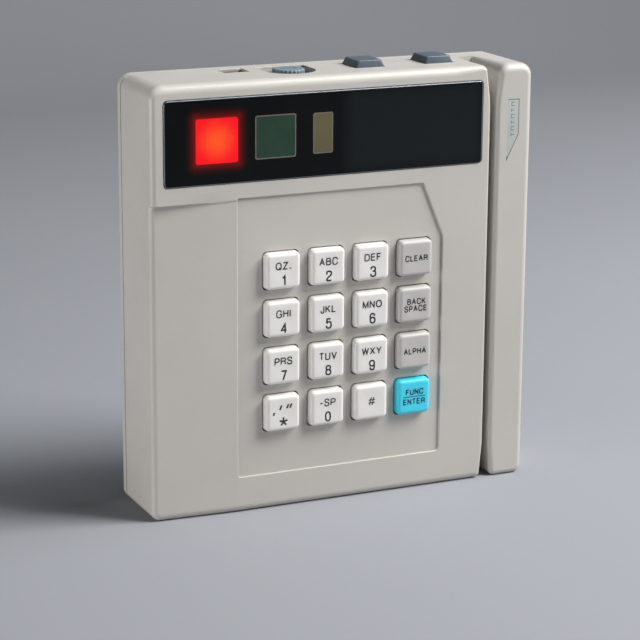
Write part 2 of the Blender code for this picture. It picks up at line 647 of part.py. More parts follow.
def build_read_head(head_material, spring_material):
    nose_x = BODY_WIDTH + HEAD_PROUD
    half_height, half_width = HEAD_HEIGHT / 2, HEAD_WIDTH / 2
    outline = [Vector((nose_x - HEAD_LENGTH, HEAD_Z - half_height))]
    for step in range(9):
        turned = math.pi * (step / 8 - 0.5)
        outline.append(Vector((nose_x - HEAD_NOSE * (1 - math.cos(turned)),
                               HEAD_Z + half_height * math.sin(turned))))
    outline.append(Vector((nose_x - HEAD_LENGTH, HEAD_Z + half_height)))
    pivot = (nose_x, HEAD_Y, HEAD_Z)
    head = prism(outline, Y_AXIS, HEAD_Y - half_width, HEAD_Y + half_width)
    add_part("read_head", head, head_material, pivot=pivot, smooth=True)
    leaf_x = nose_x - HEAD_LENGTH - GAP
    leaf = prism(square(HEAD_Y, HEAD_Z, HEAD_WIDTH, 1.0), X_AXIS, leaf_x - LEAF_THICKNESS, leaf_x)
    spring = add_part("head_spring", leaf, spring_material, pivot=pivot)
    arms = box((leaf_x - LEAF_THICKNESS, leaf_x), (HEAD_Y - LEAF_HALF_WIDTH, HEAD_Y + LEAF_HALF_WIDTH),
               (HEAD_Z - LEAF_HALF_LENGTH, HEAD_Z + LEAF_HALF_LENGTH))
    join(spring, arms, "arms")


def build_ribbon_cable(material):
    """Flat cable folded over between the display's board and the main board."""
    front, back = DISPLAY_BOARD_Y + BOARD_THICKNESS + GAP, MAIN_BOARD_Y - GAP
    foot, top = CABLE_Z
    bend = [(front, foot), (front + CABLE_THICKNESS, foot), (front + CABLE_THICKNESS, top),
            (back - CABLE_THICKNESS, top), (back - CABLE_THICKNESS, foot), (back, foot),
            (back, top + CABLE_THICKNESS), (front, top + CABLE_THICKNESS)]
    cable = prism([Vector(corner) for corner in bend], X_AXIS, *CABLE_X)
    add_part("ribbon_cable", cable, material)


def build_electronics(materials):
    board_back = MAIN_BOARD_Y + BOARD_THICKNESS
    add_part("main_board", plate(MAIN_BOARD, MAIN_BOARD_Y, board_back), materials["board"])
    top_board = box(TOP_BOARD_X, TOP_BOARD_Y, (TOP_BOARD_Z, TOP_BOARD_Z + BOARD_THICKNESS))
    add_part("top_board", top_board, materials["board"])
    chip_back = MAIN_BOARD_Y - GAP
    chip = plate(PROCESSOR, chip_back - PROCESSOR_THICKNESS, chip_back)
    add_part("processor", chip, materials["black"])
    base = board_back + GAP
    transformer = plate(TRANSFORMER, base, base + TRANSFORMER_THICKNESS)
    add_part("modem_transformer", transformer, materials["black"])
    buzzer = prism(circle(*BUZZER_PLACE, BUZZER_RADIUS, 24), Y_AXIS, base, base + BUZZER_THICKNESS)
    add_part("buzzer", buzzer, materials["black"], smooth=True)
    battery = prism(circle(*BATTERY_PLACE, BATTERY_RADIUS, 24), Y_AXIS, base, base + BATTERY_THICKNESS)
    add_part("backup_battery", battery, materials["steel"], smooth=True)
    build_ribbon_cable(materials["rubber_grey"])


# Fasteners and feet

def build_screw(name, axis, centre, head_level, direction, length, material):
    """Screw lying along an axis, its head's outer face at head_level and its shank along direction."""
    under_head = head_level + direction * SCREW_HEAD_HEIGHT
    shank_end = under_head + direction * (length - SCREW_TIP)
    sections = [(circle(*centre, SCREW_HEAD_RADIUS - SCREW_CORNER, 16), head_level),
                (circle(*centre, SCREW_HEAD_RADIUS, 16), head_level + direction * SCREW_CORNER),
                (circle(*centre, SCREW_HEAD_RADIUS, 16), under_head),
                (circle(*centre, SCREW_SHANK_RADIUS, 16), under_head),
                (circle(*centre, SCREW_SHANK_RADIUS, 16), shank_end),
                (circle(*centre, SCREW_SHANK_RADIUS * 0.4, 16), under_head + direction * length)]
    screw = add_part(name, loft(sections, axis), material, smooth=True)
    half_length, half_width, depth = DRIVE_SLOT
    levels = sorted((head_level - direction * OVERCUT, head_level + direction * depth))
    u, v = centre
    slot = rectangle(u - half_length, u + half_length, v - half_width, v + half_width)
    cut(screw, prism(slot, axis, *levels), "drive_slot")


def build_foot(name, place, material):
    sections = [(circle(*place, FOOT_RADIUS, 24), BACK_Y - FOOT_RECESS),
                (circle(*place, FOOT_RADIUS, 24), FOOT_BACK_Y - FOOT_BEVEL),
                (circle(*place, FOOT_RADIUS - FOOT_BEVEL, 24), FOOT_BACK_Y)]
    add_part(name, loft(sections, Y_AXIS), material, smooth=True)


def build_fasteners(materials):
    steel = materials["steel"]
    for name, place in COVER_SCREWS.items():
        build_screw(f"cover_screw_{name}", Y_AXIS, place, BACK_Y - GAP, -1, COVER_SCREW_LENGTH, steel)
    head_level = CAVITY_RIGHT - GAP - SCREW_HEAD_HEIGHT
    for name, z in RAIL_SCREWS.items():
        build_screw(f"rail_screw_{name}", X_AXIS, (RAIL_SCREW_Y, z), head_level, 1, RAIL_SCREW_LENGTH, steel)
    for name, place in FEET.items():
        build_foot(f"rubber_foot_{name}", place, materials["rubber_grey"])


def make_materials():
    looks = {"housing": ((0.45, 0.43, 0.40), 0.45, 0.0),
             "window": ((0.010, 0.011, 0.012), 0.12, 0.0),
             "key_white": ((0.66, 0.65, 0.62), 0.40, 0.0),
             "key_grey": ((0.36, 0.35, 0.33), 0.42, 0.0),
             "key_blue": ((0.05, 0.45, 0.62), 0.38, 0.0),
             "button": ((0.10, 0.13, 0.16), 0.50, 0.0),
             "lens_red": ((0.90, 0.05, 0.02), 0.30, 0.0),
             "lens_green": ((0.05, 0.16, 0.10), 0.30, 0.0),
             "lens_amber": ((0.30, 0.24, 0.10), 0.30, 0.0),
             "display": ((0.015, 0.017, 0.018), 0.20, 0.0),
             "black": ((0.02, 0.02, 0.02), 0.55, 0.0),
             "board": ((0.03, 0.16, 0.07), 0.50, 0.0),
             "rubber_grey": ((0.12, 0.12, 0.12), 0.80, 0.0),
             "steel": ((0.62, 0.62, 0.63), 0.30, 1.0)}
    return {name: add_material(name, *look) for name, look in looks.items()}


def main():
    for old in list(bpy.data.objects):
        bpy.data.objects.remove(old, do_unlink=True)
    materials = make_materials()
    build_front_housing(materials["housing"])
    build_card_rail(materials["housing"])
    build_slot_floor(materials["housing"], materials["steel"])
    build_rear_cover(materials["housing"])
    build_keypad(materials)
    build_display(materials)
    for side in BUTTON_X:
        build_top_button(side, materials["button"], materials["black"])
    build_dial(materials["button"], materials["black"])
    build_phone_jack(materials["black"])
    build_read_head(materials["steel"], materials["steel"])
    build_electronics(materials)
    build_fasteners(materials)


main()
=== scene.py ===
"""Looks of the card reader terminal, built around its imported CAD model.

Shapes are worked out in millimetres in the part's design frame: x runs right from the housing's left
side, y runs back from its front face, and z runs up from its bottom. Every piece is moved into the CAD
model's frame, in metres, when it is finished.
"""

import json
import math

import bmesh
import bpy
from mathutils import Matrix, Vector


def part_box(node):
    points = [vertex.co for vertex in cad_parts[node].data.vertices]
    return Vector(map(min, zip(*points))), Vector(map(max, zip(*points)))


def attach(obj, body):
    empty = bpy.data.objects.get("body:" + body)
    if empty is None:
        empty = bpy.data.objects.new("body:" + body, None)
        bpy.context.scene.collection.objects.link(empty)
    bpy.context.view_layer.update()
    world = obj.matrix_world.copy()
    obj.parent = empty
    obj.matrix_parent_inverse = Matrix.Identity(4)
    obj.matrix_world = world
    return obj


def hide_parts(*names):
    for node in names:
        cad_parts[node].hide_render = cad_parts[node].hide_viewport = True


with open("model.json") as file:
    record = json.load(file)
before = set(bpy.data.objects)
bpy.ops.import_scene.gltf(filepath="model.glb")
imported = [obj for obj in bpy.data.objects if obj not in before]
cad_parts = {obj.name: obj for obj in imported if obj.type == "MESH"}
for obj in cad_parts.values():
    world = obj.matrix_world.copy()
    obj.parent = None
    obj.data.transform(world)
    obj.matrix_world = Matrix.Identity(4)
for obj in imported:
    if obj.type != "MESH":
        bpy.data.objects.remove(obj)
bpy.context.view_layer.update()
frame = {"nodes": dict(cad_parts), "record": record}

MM = 0.001
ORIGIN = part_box("front_housing")[0]
X, Y, Z = 0, 1, 2


def span(node):
    """A CAD node's lowest and highest corners, in millimetres in the design frame."""
    low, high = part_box(node)
    return (low - ORIGIN) / MM, (high - ORIGIN) / MM


BODY_WIDTH, PARTING_Y, HEIGHT = span("front_housing")[1]
RAIL_LEFT, RAIL_RIGHT = span("card_rail")[0].x, span("card_rail")[1].x
SLOT_FLOOR_Y = span("slot_spacer")[0].y
BACK_Y = span("rear_cover")[1].y
PANE = span("display_window")

# Shells
TOP_CORNER, BOTTOM_CORNER, RAIL_TOP_CORNER = 5.5, 3.5, 5.0
FRONT_FILLETS = {"left": 2.2, "right": 1.2, "top": 3.6, "bottom": 3.0}
RAIL_FILLETS = {"left": 1.9, "right": 2.8, "top": 3.4, "bottom": 2.4}
REAR_FILLETS = dict.fromkeys(FRONT_FILLETS, 2.9)
NARROW_START, NARROW_LENGTH, NARROW_FILLET = 16.0, 11.0, 2.3  # of the top fillet, before the slot
BODY_FLARE, RAIL_FLARE, LOWER_FLARE = 1.9, 2.2, 1.3  # how far the slot's sides open at its ends
FLARE_LENGTH, FLARE_BEND = 15.0, 60.0
BODY_SLOT_CORNERS = 2.2, 2.6  # lower and upper
RAIL_SLOT_CORNERS = 2.6, 4.6
FLARE_LOSS, CORNER_LOSS = 0.7, 3.0  # of the rail's upper flare and corner, at the slot's floor
WALL, FRONT_WALL, CAVITY_CORNER = 2.3, 3.4, 2.0
BRIDGE_DROP, BRIDGE_OVERLAP, BRIDGE_CORNER = 0.01, 4.0, 0.3  # where rail and housing look like one
EDGE = 0.28  # rounding of moulded edges
PAST = 1.0  # how far a cutter runs past what it cuts
COVER_FRONT_Y = PARTING_Y + 0.3
SEAM_WIDTH, SEAM_DEPTH, SEAM_SLOPE = 0.65, 0.8, 0.02  # groove in the shells' rear edge: the parting line
SEAM_CHAMFER = 0.1  # on the cover's side of it
LIP_INSET, LIP_REACH = 0.9, 1.6  # the cover's lip behind the parting line
DARK_BAND_INSET, DARK_BAND_WIDTH, DARK_BAND_BEYOND = 0.5, 1.0, 0.1  # dark band in the parting line: painted shade of the gap between the shells
HEAD_GAP, HEAD_WINDOW = 0.5, 8.0  # opening for the read head in the slot's wall

# Front face
LEAN_TOP, LEAN_RIGHT, LEAN_DEPTH = 125.6, 34.8, 2.0
STEP_HEIGHT = 0.5
PANEL_LEFT, PANEL_RIGHT, PANEL_BOTTOM, PANEL_TOP = 34.8, 122.9, 14.5, 126.0
PANEL_CUT_X, PANEL_CUT_Z = 114.0, 104.3
PANEL_RADII = 1.2, 1.6, 1.0, 0.8, 0.8  # anticlockwise from the lower left
PANEL_DEPTH, PANEL_EDGE = 0.8, 0.35
PANE_CORNER, PANE_EDGE, PANE_GAP = 1.6, 0.6, 0.12
PANE_LEDGE, LEDGE_FRONT = 2.2, 0.5  # what holds the window's border
LENS_BORDER, LENS_POCKET, LENS_BACK = 0.42, 0.6, 0.55
LENS_SINK, RIM_SINK = 0.004, 0.007  # of the lenses and their rims behind the window's face
HALO_REACH = 0.0055  # in metres, round the lit lens

# Keys
KEY_SIZE, KEY_CORNER = 14.6, 1.9
KEY_HOLE, KEY_HOLE_EDGE = KEY_SIZE + 0.8, 0.15
KEY_SKIRT_Y, SKIRT_STEP = 4.6, 1.2
KEY_TAPER = 0.22  # per side, from the panel to the rounding
KEY_ROUND, ROUND_STEPS = 1.35, 8
DISH_DEPTH, DISH_REACH, DISH_STEPS = 0.17, 5.5, 14
LEGEND_LIFT, LEGEND_GAP = 0.035, 0.01  # of the printing above the key top, and to the CAD's box
KEY_NAMES = ("key_1", "key_2", "key_3", "key_clear",
             "key_4", "key_5", "key_6", "key_back_space",
             "key_7", "key_8", "key_9", "key_alpha",
             "key_star", "key_0", "key_hash", "key_enter")
KEY_SLOTS = {"key_clear": "key_grey", "key_back_space": "key_grey", "key_alpha": "key_grey",
             "key_enter": "key_blue"}  # the others are key_white

# Top edge
OPENING_EDGE, OPENING_DEPTH = 0.2, WALL + 1.0
JACK_X, JACK_Y, JACK_DEPTH, JACK_CORNER = (38.2, 48.5), (21.0, 29.6), 13.0, 0.3
JACK_EDGE, JACK_GAP = 0.2, 0.1
LATCH_HALF, LATCH_DEPTH = 3.0, 1.6
COLLAR_GAP, COLLAR_WALL, COLLAR_LIFT, COLLAR_DROP = 0.03, 0.5, 0.02, 0.35
CONTACT_PITCH, CONTACT_HALF, CONTACT_THICK = 1.02, 0.2, 0.4
CONTACT_TOP, CONTACT_BOTTOM = (0.5, 0.9), (2.6, 7.0)  # in front of the socket's back, and below its top
WELL_X, WELL_Y, WELL_RADIUS, WELL_BACK_Y, WELL_STEPS = 64.5, 19.0, 10.1, 29.4, 32
TUB_WALL, TUB_FLOOR, TUB_OVERLAP = 1.2, 1.0, 0.1
CONTROL_GAP, CONTROL_RISE = 0.3, 0.4  # round the dial's control, and of its top over the floor
DIAL_RADIUS, DIAL_TEETH, TOOTH_DEPTH = 6.4, 24, 0.28
TOOTH_PROFILE = (0.0, 0.0), (0.22, 0.0), (0.42, 1.0), (0.78, 1.0)  # shares of the pitch and the depth
DIAL_HEIGHT, SHAFT_RADIUS = 6.0, 2.0
DIAL_ROUNDING = (0.0, 0.75), (0.05, 0.5), (0.25, 0.2), (0.7, 0.06), (1.4, 0.0)  # inward and down
DIAL_GROOVE_HALF, DIAL_GROOVE_WIDTH, DIAL_GROOVE_DEPTH = 3.6, 1.2, 0.9
BUTTON_WIDTH, BUTTON_DEPTH, BUTTON_INSET = 12.5, 13.8, 0.8
BUTTON_CORNER, BUTTON_HOLE_CORNER, BUTTON_TOP_CORNER = 0.9, 0.7, 1.1
BUTTON_FLANGE, BUTTON_ROUND, BUTTON_ARCH, BUTTON_GAP = 1.0, 0.55, 0.22, 0.3
STEM_INSET, STEM_HEIGHT = 4.0, 1.3

# Rail label: its outline, then the marks that stand for its word
LABEL_LEFT, LABEL_RIGHT, LABEL_TOP = 150.7, 156.0, 157.0
LABEL_SHOULDER, LABEL_TIP, LABEL_LINE = 142.7, 132.1, 0.33
SHOULDER_RISE, TIP_RISE = 0.2, 4.2  # of the slanted side's ends, for each millimetre of inset
LABEL_SINK, FILM_LIFT, LINE_LIFT = 0.02, 0.03, 0.035
MARK_COUNT, MARK_PITCH, MARK_DROP = 6, 2.45, 2.0
MARK_LEFT, MARK_RIGHT, STEM_RIGHT = 1.7, 3.2, 1.95
MARK_HALF, BAR_HALF = 0.7, 0.13
BAR_LIFT, STEM_LIFT = 0.045, 0.046

# Back
CORNERS = ("lower_left", "upper_left", "lower_right", "upper_right")
SCREW_GAP, SCREW_SINK, SCREW_SHANK, SCREW_SEAT, BOSS_DEPTH = 0.3, 2.0, 1.7, 1.5, 3.0
FOOT_GAP = 0.25
PLATE = Vector((46.0, 0.0, 62.0)), Vector((116.0, 0.0, 108.0))  # the lower and upper corners of its recess
PLATE_GAP, PLATE_CORNERS = 0.5, (2.0, 1.6)  # recess, plate
PLATE_RECESS, PLATE_BACK, PLATE_FACE = 0.4, 0.39, 0.15  # depths under the cover's back
RULE_COUNT, RULE_PITCH, RULE_HALF, RULE_LENGTHS = 7, 5.2, 0.45, (58.0, 44.0, 52.0)
RULE_SIDE, RULE_DROP, RULE_BACK, RULE_FACE = 6.0, 7.0, 0.2, 0.12


# Outlines

def arc_outline(corners, steps=8):
    """Anticlockwise outline through (u, v, radius) corners, each turned on an arc of its own radius."""
    points = []
    for index, (u, v, radius) in enumerate(corners):
        corner = Vector((u, v))
        if radius == 0:
            points.append(corner)
            continue
        before = (Vector(corners[index - 1][:2]) - corner).normalized()
        after = (Vector(corners[(index + 1) % len(corners)][:2]) - corner).normalized()
        half = before.angle(after) / 2
        centre = corner + (before + after).normalized() * radius / math.sin(half)
        start = corner + before * radius / math.tan(half) - centre
        end = corner + after * radius / math.tan(half) - centre
        sweep = start.angle(end)
        for step in range(steps + 1):
            turned = sweep * step / steps
            arc = start * math.sin(sweep - turned) + end * math.sin(turned)
            points.append(centre + arc / math.sin(sweep))
    return points


def rounded_box(left, right, low, high, radius, steps=6):
    corners = ((left, low), (right, low), (right, high), (left, high))
    return arc_outline([(u, v, radius) for u, v in corners], steps)


def framed(low, high, margin, radius, steps=6):
    """Rounded box in x and z round two corners, a margin larger all round."""
    return rounded_box(low.x - margin, high.x + margin, low.z - margin, high.z + margin, radius, steps)


def circle(centre_u, centre_v, radius, count):
    turns = [2 * math.pi * index / count for index in range(count)]
    return [Vector((centre_u + radius * math.cos(turn), centre_v + radius * math.sin(turn)))
            for turn in turns]


def refined(points, longest):
    """The outline with its long edges split evenly."""
    result = []
    for index, point in enumerate(points):
        following = points[(index + 1) % len(points)]
        pieces = max(1, math.ceil((following - point).length / longest))
        result.extend(point.lerp(following, piece / pieces) for piece in range(pieces))
    return result


def outward(points, index):
    """Outward normal at a point of an anticlockwise outline, and how far a mitred offset moves it."""
    before = (points[index] - points[index - 1]).normalized()
    after = (points[(index + 1) % len(points)] - points[index]).normalized()
    side = Vector((before.y, -before.x))
    normal = (side + Vector((after.y, -after.x))).normalized()
    return normal, 1 / max(0.5, normal.dot(side))


def inset(points, distances):
    """Outline moved inward by one distance, or by a distance for each point."""
    if not isinstance(distances, list):
        distances = [distances] * len(points)
    moved = []
    for index, (point, distance) in enumerate(zip(points, distances)):
        normal, stretch = outward(points, index)
        moved.append(point - normal * distance * stretch)
    return moved


def rim_radii(points, fillets, narrowing=None):
    """Fillet radius at each point, from the radii of the sides that it faces."""
    radii = []
    for index in range(len(points)):
        normal, _ = outward(points, index)
        across = fillets["right" if normal.x > 0 else "left"]
        along = fillets["top" if normal.y > 0 else "bottom"]
        if narrowing and normal.y > 0:
            along = narrowing(points[index].x, along)
        radii.append(across * normal.x ** 2 + along * normal.y ** 2)
    return radii


# Meshes

def loft(rings):
    """Solid through rings of 3D points, closed by a face at each end."""
    bm = bmesh.new()
    rows = [[bm.verts.new(point) for point in ring] for ring in rings]
    bm.faces.new(rows[0])
    bm.faces.new(rows[-1])
    for row, following in zip(rows, rows[1:]):
        for index in range(len(row)):
            bm.faces.new((row[index - 1], row[index], following[index], following[index - 1]))
    bmesh.ops.recalc_face_normals(bm, faces=bm.faces)
    return bm


def ring(outline, axis, levels):
    """Outline in 3D at one level along an axis, or at a level for each point."""
    if not isinstance(levels, list):
        levels = [levels] * len(outline)
    places = []
    for point, level in zip(outline, levels):
        place = list(point)
        place.insert(axis, level)
        places.append(place)
    return places


def prism(outline, axis, low, high):
    return loft([ring(outline, axis, low), ring(outline, axis, high)])


def quarter_turn(steps):
    """Shares of the radius along a rounding, across its face and down its side."""
    turns = [math.pi / 2 * step / steps for step in range(steps + 1)]
    return [(1 - math.sin(turned), 1 - math.cos(turned)) for turned in turns]


def opening_cutter(outline, axis, floor, face, edge=EDGE):
    """Cutter from a floor out through a face, flared so that the rim it leaves is rounded."""
    outside = 1.0 if face > floor else -1.0
    rings = [ring(outline, axis, floor)]
    for down, across in quarter_turn(5):
        flared = inset(outline, -edge * across)
        rings.append(ring(flared, axis, face - outside * edge * down))
    rings.append(ring(flared, axis, face + outside * PAST))
    return loft(rings)


def block(x_range, y_range, z_range):
    (left, right), (front, back) = x_range, y_range
    corners = ((left, front), (right, front), (right, back), (left, back))
    return prism([Vector(corner) for corner in corners], Z, *z_range)


def rim_rings(outline, radii, face, inward, steps=8, axis=Y):
    """Rings of a rounded rim, from the flat face to the sides; inward is the way in, 1 or -1."""
    rings = []
    for across, down in quarter_turn(steps):
        moved = inset(outline, [radius * across for radius in radii])
        rings.append(ring(moved, axis, [face + inward * radius * down for radius in radii]))
    return rings


def merged(meshes):
    result = bmesh.new()
    for piece in meshes:
        mesh = bpy.data.meshes.new("merging")
        piece.to_mesh(mesh)
        piece.free()
        result.from_mesh(mesh)
        bpy.data.meshes.remove(mesh)
    return result


def linked_object(name, data):
    linked = bpy.data.objects.new(name, data)
    bpy.context.scene.collection.objects.link(linked)
    return linked


def work_object(name, bm, *cutters):
    """Object from a mesh, with the cutters taken away from it in turn."""
    mesh = bpy.data.meshes.new(name)
    bm.to_mesh(mesh)
    bm.free()
    piece = linked_object(name, mesh)
    for cutter in cutters:
        cut(piece, cutter)
    return piece


def apply_modifiers(piece):
    graph = bpy.context.evaluated_depsgraph_get()
    mesh = bpy.data.meshes.new_from_object(piece.evaluated_get(graph))
    old = piece.data
    piece.modifiers.clear()
    piece.data = mesh
    bpy.data.meshes.remove(old)


def cut(piece, bm):
    tool = work_object("tool", bm)
    modifier = piece.modifiers.new("cut", "BOOLEAN")
    modifier.operation = "DIFFERENCE"
    modifier.solver = "EXACT"
    modifier.object = tool
    apply_modifiers(piece)
    bpy.data.objects.remove(tool, do_unlink=True)


def round_edges(piece, width, segments):
    modifier = piece.modifiers.new("edges", "BEVEL")
    modifier.width = width
    modifier.segments = segments
    modifier.limit_method = "ANGLE"
    modifier.angle_limit = math.radians(32)
    modifier.use_clamp_overlap = False
    modifier.loop_slide = False
    modifier.miter_outer = "MITER_ARC"
    apply_modifiers(piece)


def finish_piece(piece, slot, materials=(), body="terminal", replaces=(), sharp=50, weighted=False):
    piece.data.transform(Matrix.Translation(ORIGIN) @ Matrix.Diagonal((MM, MM, MM, 1)))
    for name in materials or [slot]:
        piece.data.materials.append(MATERIALS[name])
    piece.data.shade_smooth()
    piece.data.set_sharp_from_angle(angle=math.radians(sharp))
    if weighted:
        normals = piece.modifiers.new("normals", "WEIGHTED_NORMAL")
        normals.keep_sharp = True
        apply_modifiers(piece)
    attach(piece, body)
    if replaces:
        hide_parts(*replaces)


# Materials

def feed(tree, node, inputs):
    """Sets a node's inputs, given by name or number, to a number or a colour, or links them to a socket."""
    for name, value in inputs.items():
        if isinstance(value, bpy.types.NodeSocket):
            tree.links.new(value, node.inputs[name])
        else:
            node.inputs[name].default_value = (*value, 1.0) if isinstance(value, tuple) else value


def add_node(tree, kind, inputs, **settings):
    node = tree.nodes.new(kind)
    for name, value in settings.items():
        setattr(node, name, value)
    feed(tree, node, inputs)
    return node


def new_material(name):
    """A material, its tree, its shader and the place that its patterns are laid out by."""
    material = bpy.data.materials.new(name)
    material.use_nodes = True
    tree = material.node_tree
    place = add_node(tree, "ShaderNodeTexCoord", {}).outputs["Object"]
    return material, tree, tree.nodes["Principled BSDF"], place


def noise(tree, place, scale, detail, roughness=0.5):
    node = add_node(tree, "ShaderNodeTexNoise",
                    {"Vector": place, "Scale": scale, "Detail": detail, "Roughness": roughness})
    return node.outputs["Fac"]


def changing(tree, value, start, end, at_start, at_end, way="LINEAR"):
    """Change from one level to another as the value goes from start to end."""
    node = add_node(tree, "ShaderNodeMapRange", {"Value": value, "From Min": start, "From Max": end,
                                                 "To Min": at_start, "To Max": at_end},
                    interpolation_type=way)
    return node.outputs["Result"]


def drift(tree, place, scale, detail, low=0.0, high=1.0):
    """Noise stretched from its usual levels over the range from low to high."""
    return changing(tree, noise(tree, place, scale, detail), 0.3, 0.7, low, high)


def mixed(tree, factor, first, second):
    """Mix of two colours, each a socket or three channels."""
    return add_node(tree, "ShaderNodeMix", {0: factor, 6: first, 7: second}, data_type="RGBA").outputs[2]


def scaled(colour, share):
    return tuple(channel * share for channel in colour)


def moulded(name, colour, roughness, grain=1.0, tint=0.93):
    """Injection-moulded plastic: fine eroded grain, slow drift of tone and gloss, and small specks."""
    material, tree, shader, place = new_material(name)
    tone = drift(tree, place, 38.0, 3.0)
    base = mixed(tree, tone, scaled(colour, tint), colour)
    speck = drift(tree, place, 1500.0, 2.0)
    specked = mixed(tree, speck, scaled(colour, 0.955), colour)
    gloss = drift(tree, place, 120.0, 4.0, roughness - 0.05, roughness + 0.05)
    height = noise(tree, place, 2600.0, 3.0, 0.6)
    bump = add_node(tree, "ShaderNodeBump",
                    {"Strength": 0.35 * grain, "Distance": 0.00004, "Height": height})
    feed(tree, shader, {"Base Color": mixed(tree, 0.35, base, specked), "Roughness": gloss,
                        "Normal": bump.outputs["Normal"]})
    return material


def smooth(name, colour, roughness, metallic=0.0, specular=0.5):
    """Smooth surface with faint smears in its gloss and tone."""
    material, tree, shader, place = new_material(name)
    tone = drift(tree, place, 90.0, 3.0)
    gloss = drift(tree, place, 160.0, 5.0, roughness * 0.8, roughness * 1.25)
    feed(tree, shader, {"Base Color": mixed(tree, tone, scaled(colour, 0.86), colour), "Roughness": gloss,
                        "Metallic": metallic, "Specular IOR Level": specular})
    return material


def math_node(tree, operation, first, second=0.0):
    return add_node(tree, "ShaderNodeMath", {0: first, 1: second}, operation=operation).outputs[0]


def rectangle_reach(tree, place, low, high):
    """Distance in metres outside a rectangle in x and z, given by its low and high corners."""
    parts = add_node(tree, "ShaderNodeSeparateXYZ", {0: place})
    squares = []
    for axis in (X, Z):
        offset = math_node(tree, "SUBTRACT", parts.outputs[axis], (low[axis] + high[axis]) / 2)
        distance = math_node(tree, "ABSOLUTE", offset)
        beyond = math_node(tree, "SUBTRACT", distance, (high[axis] - low[axis]) / 2)
        beyond = math_node(tree, "MAXIMUM", beyond, 0.0)
        squares.append(math_node(tree, "MULTIPLY", beyond, beyond))
    return math_node(tree, "SQRT", math_node(tree, "ADD", *squares))


def smoked_window(name):
    """Glossy smoked acrylic, with the lit lens's halo in it and a paler haze over the display."""
    material, tree, shader, place = new_material(name)
    smoke = mixed(tree, drift(tree, place, 60.0, 4.0), (0.0008, 0.0011, 0.0014), (0.0022, 0.0027, 0.0032))
    display_reach = rectangle_reach(tree, place, *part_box("display_module"))
    over_display = changing(tree, display_reach, 0.0, 0.007, 0.85, 0.0, "SMOOTHSTEP")
    haze = mixed(tree, over_display, smoke, (0.0085, 0.0120, 0.0148))
    gloss = drift(tree, place, 160.0, 5.0, 0.07, 0.12)
    glow = changing(tree, rectangle_reach(tree, place, *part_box("red_lens")), 0.0, HALO_REACH, 0.55, 0.0)
    feed(tree, shader, {"Base Color": haze, "Roughness": gloss, "Specular IOR Level": 0.15,
                        "Emission Color": (1.0, 0.02, 0.01),
                        "Emission Strength": math_node(tree, "POWER", glow, 3.0)})
    return material


def lit_lens(name, node):
    """Lamp glow behind a red lens: orange by the lamp, pure red towards the edges."""
    material, tree, shader, place = new_material(name)
    low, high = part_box(node)
    centre = (low + high) / 2
    reach = rectangle_reach(tree, place, centre, centre)
    ripple = drift(tree, place, 700.0, 3.0, -0.0005, 0.0005)
    rippled = math_node(tree, "ADD", reach, ripple)
    shade = changing(tree, rippled, 0.0, (high.x - low.x) * 0.56, 0.0, 1.0, "SMOOTHSTEP")
    colour = mixed(tree, shade, (1.0, 0.090, 0.016), (1.0, 0.006, 0.014))
    strength = changing(tree, reach, 0.0, 0.012, 1.0, 0.92, "SMOOTHSTEP")
    feed(tree, shader, {"Emission Color": colour, "Emission Strength": strength, "Roughness": 0.2,
                        "Base Color": (0.02, 0.001, 0.001), "Specular IOR Level": 0.2})
    return material


# By material slot, and by a name of its own where a piece's finish differs from its slot's
MATERIALS = {
    "housing_plastic": moulded("housing_plastic", (0.60, 0.575, 0.535), 0.36),
    "key_white": moulded("key_white_plastic", (0.88, 0.86, 0.83), 0.40, 0.6, 0.97),
    "key_grey": moulded("key_grey_plastic", (0.58, 0.56, 0.545), 0.40, 0.6, 0.97),
    "key_blue": moulded("key_blue_plastic", (0.07, 0.74, 0.97), 0.34, 0.6, 0.97),
    "control_grey": moulded("control_grey_plastic", (0.098, 0.126, 0.154), 0.36),
    "dial": moulded("dial_plastic", (0.222, 0.280, 0.330), 0.36),
    "black_plastic": moulded("black_plastic", (0.02, 0.02, 0.021), 0.5),
    "dark_rubber": moulded("dark_rubber", (0.035, 0.035, 0.036), 0.75, 1.6, 0.85),
    "circuit_board": moulded("board_laminate", (0.02, 0.11, 0.05), 0.35, 0.5, 0.7),
    "jack": moulded("jack_plastic", (0.46, 0.42, 0.38), 0.45),
    "smoked_window": smoked_window("smoked_window"),
    # paler bluish base on the window's rounded rim: painted highlight along the edge of the smoked acrylic
    "window_rim_painted_highlight": smooth("window_rim_painted_highlight", (0.12, 0.145, 0.175), 0.16, specular=1.0),
    "display_dark": smooth("display_glass", (0.012, 0.014, 0.016), 0.12),
    "lit_lens": lit_lens("red_lens_lit", "red_lens"),
    "green_lens": smooth("green_lens_unlit", (0.021, 0.054, 0.034), 0.22, specular=0.3),
    "amber_lens": smooth("amber_lens_unlit", (0.136, 0.120, 0.059), 0.22, specular=0.3),
    "red_lens": smooth("red_lens_body", (0.45, 0.02, 0.015), 0.25),
    "lens_rim": smooth("lens_rim", (0.20, 0.165, 0.155), 0.35, specular=0.3),
    "ink": smooth("legend_ink", (0.016, 0.024, 0.036), 0.5),
    # dark tan band in the parting line: painted shade of the gap between the shells
    "gap_shade": moulded("painted_parting_shade", (0.12, 0.090, 0.055), 0.6),
    "label": smooth("label_film", (0.53, 0.57, 0.54), 0.4),
    "label_ink": smooth("label_ink", (0.13, 0.16, 0.16), 0.5),
    "plate": smooth("back_label_foil", (0.55, 0.55, 0.56), 0.35, metallic=0.8),
    "steel": smooth("polished_steel", (0.60, 0.60, 0.61), 0.28, metallic=1.0),
    "gold": smooth("contact_gold", (0.85, 0.72, 0.50), 0.25, metallic=1.0),
}


# Housing

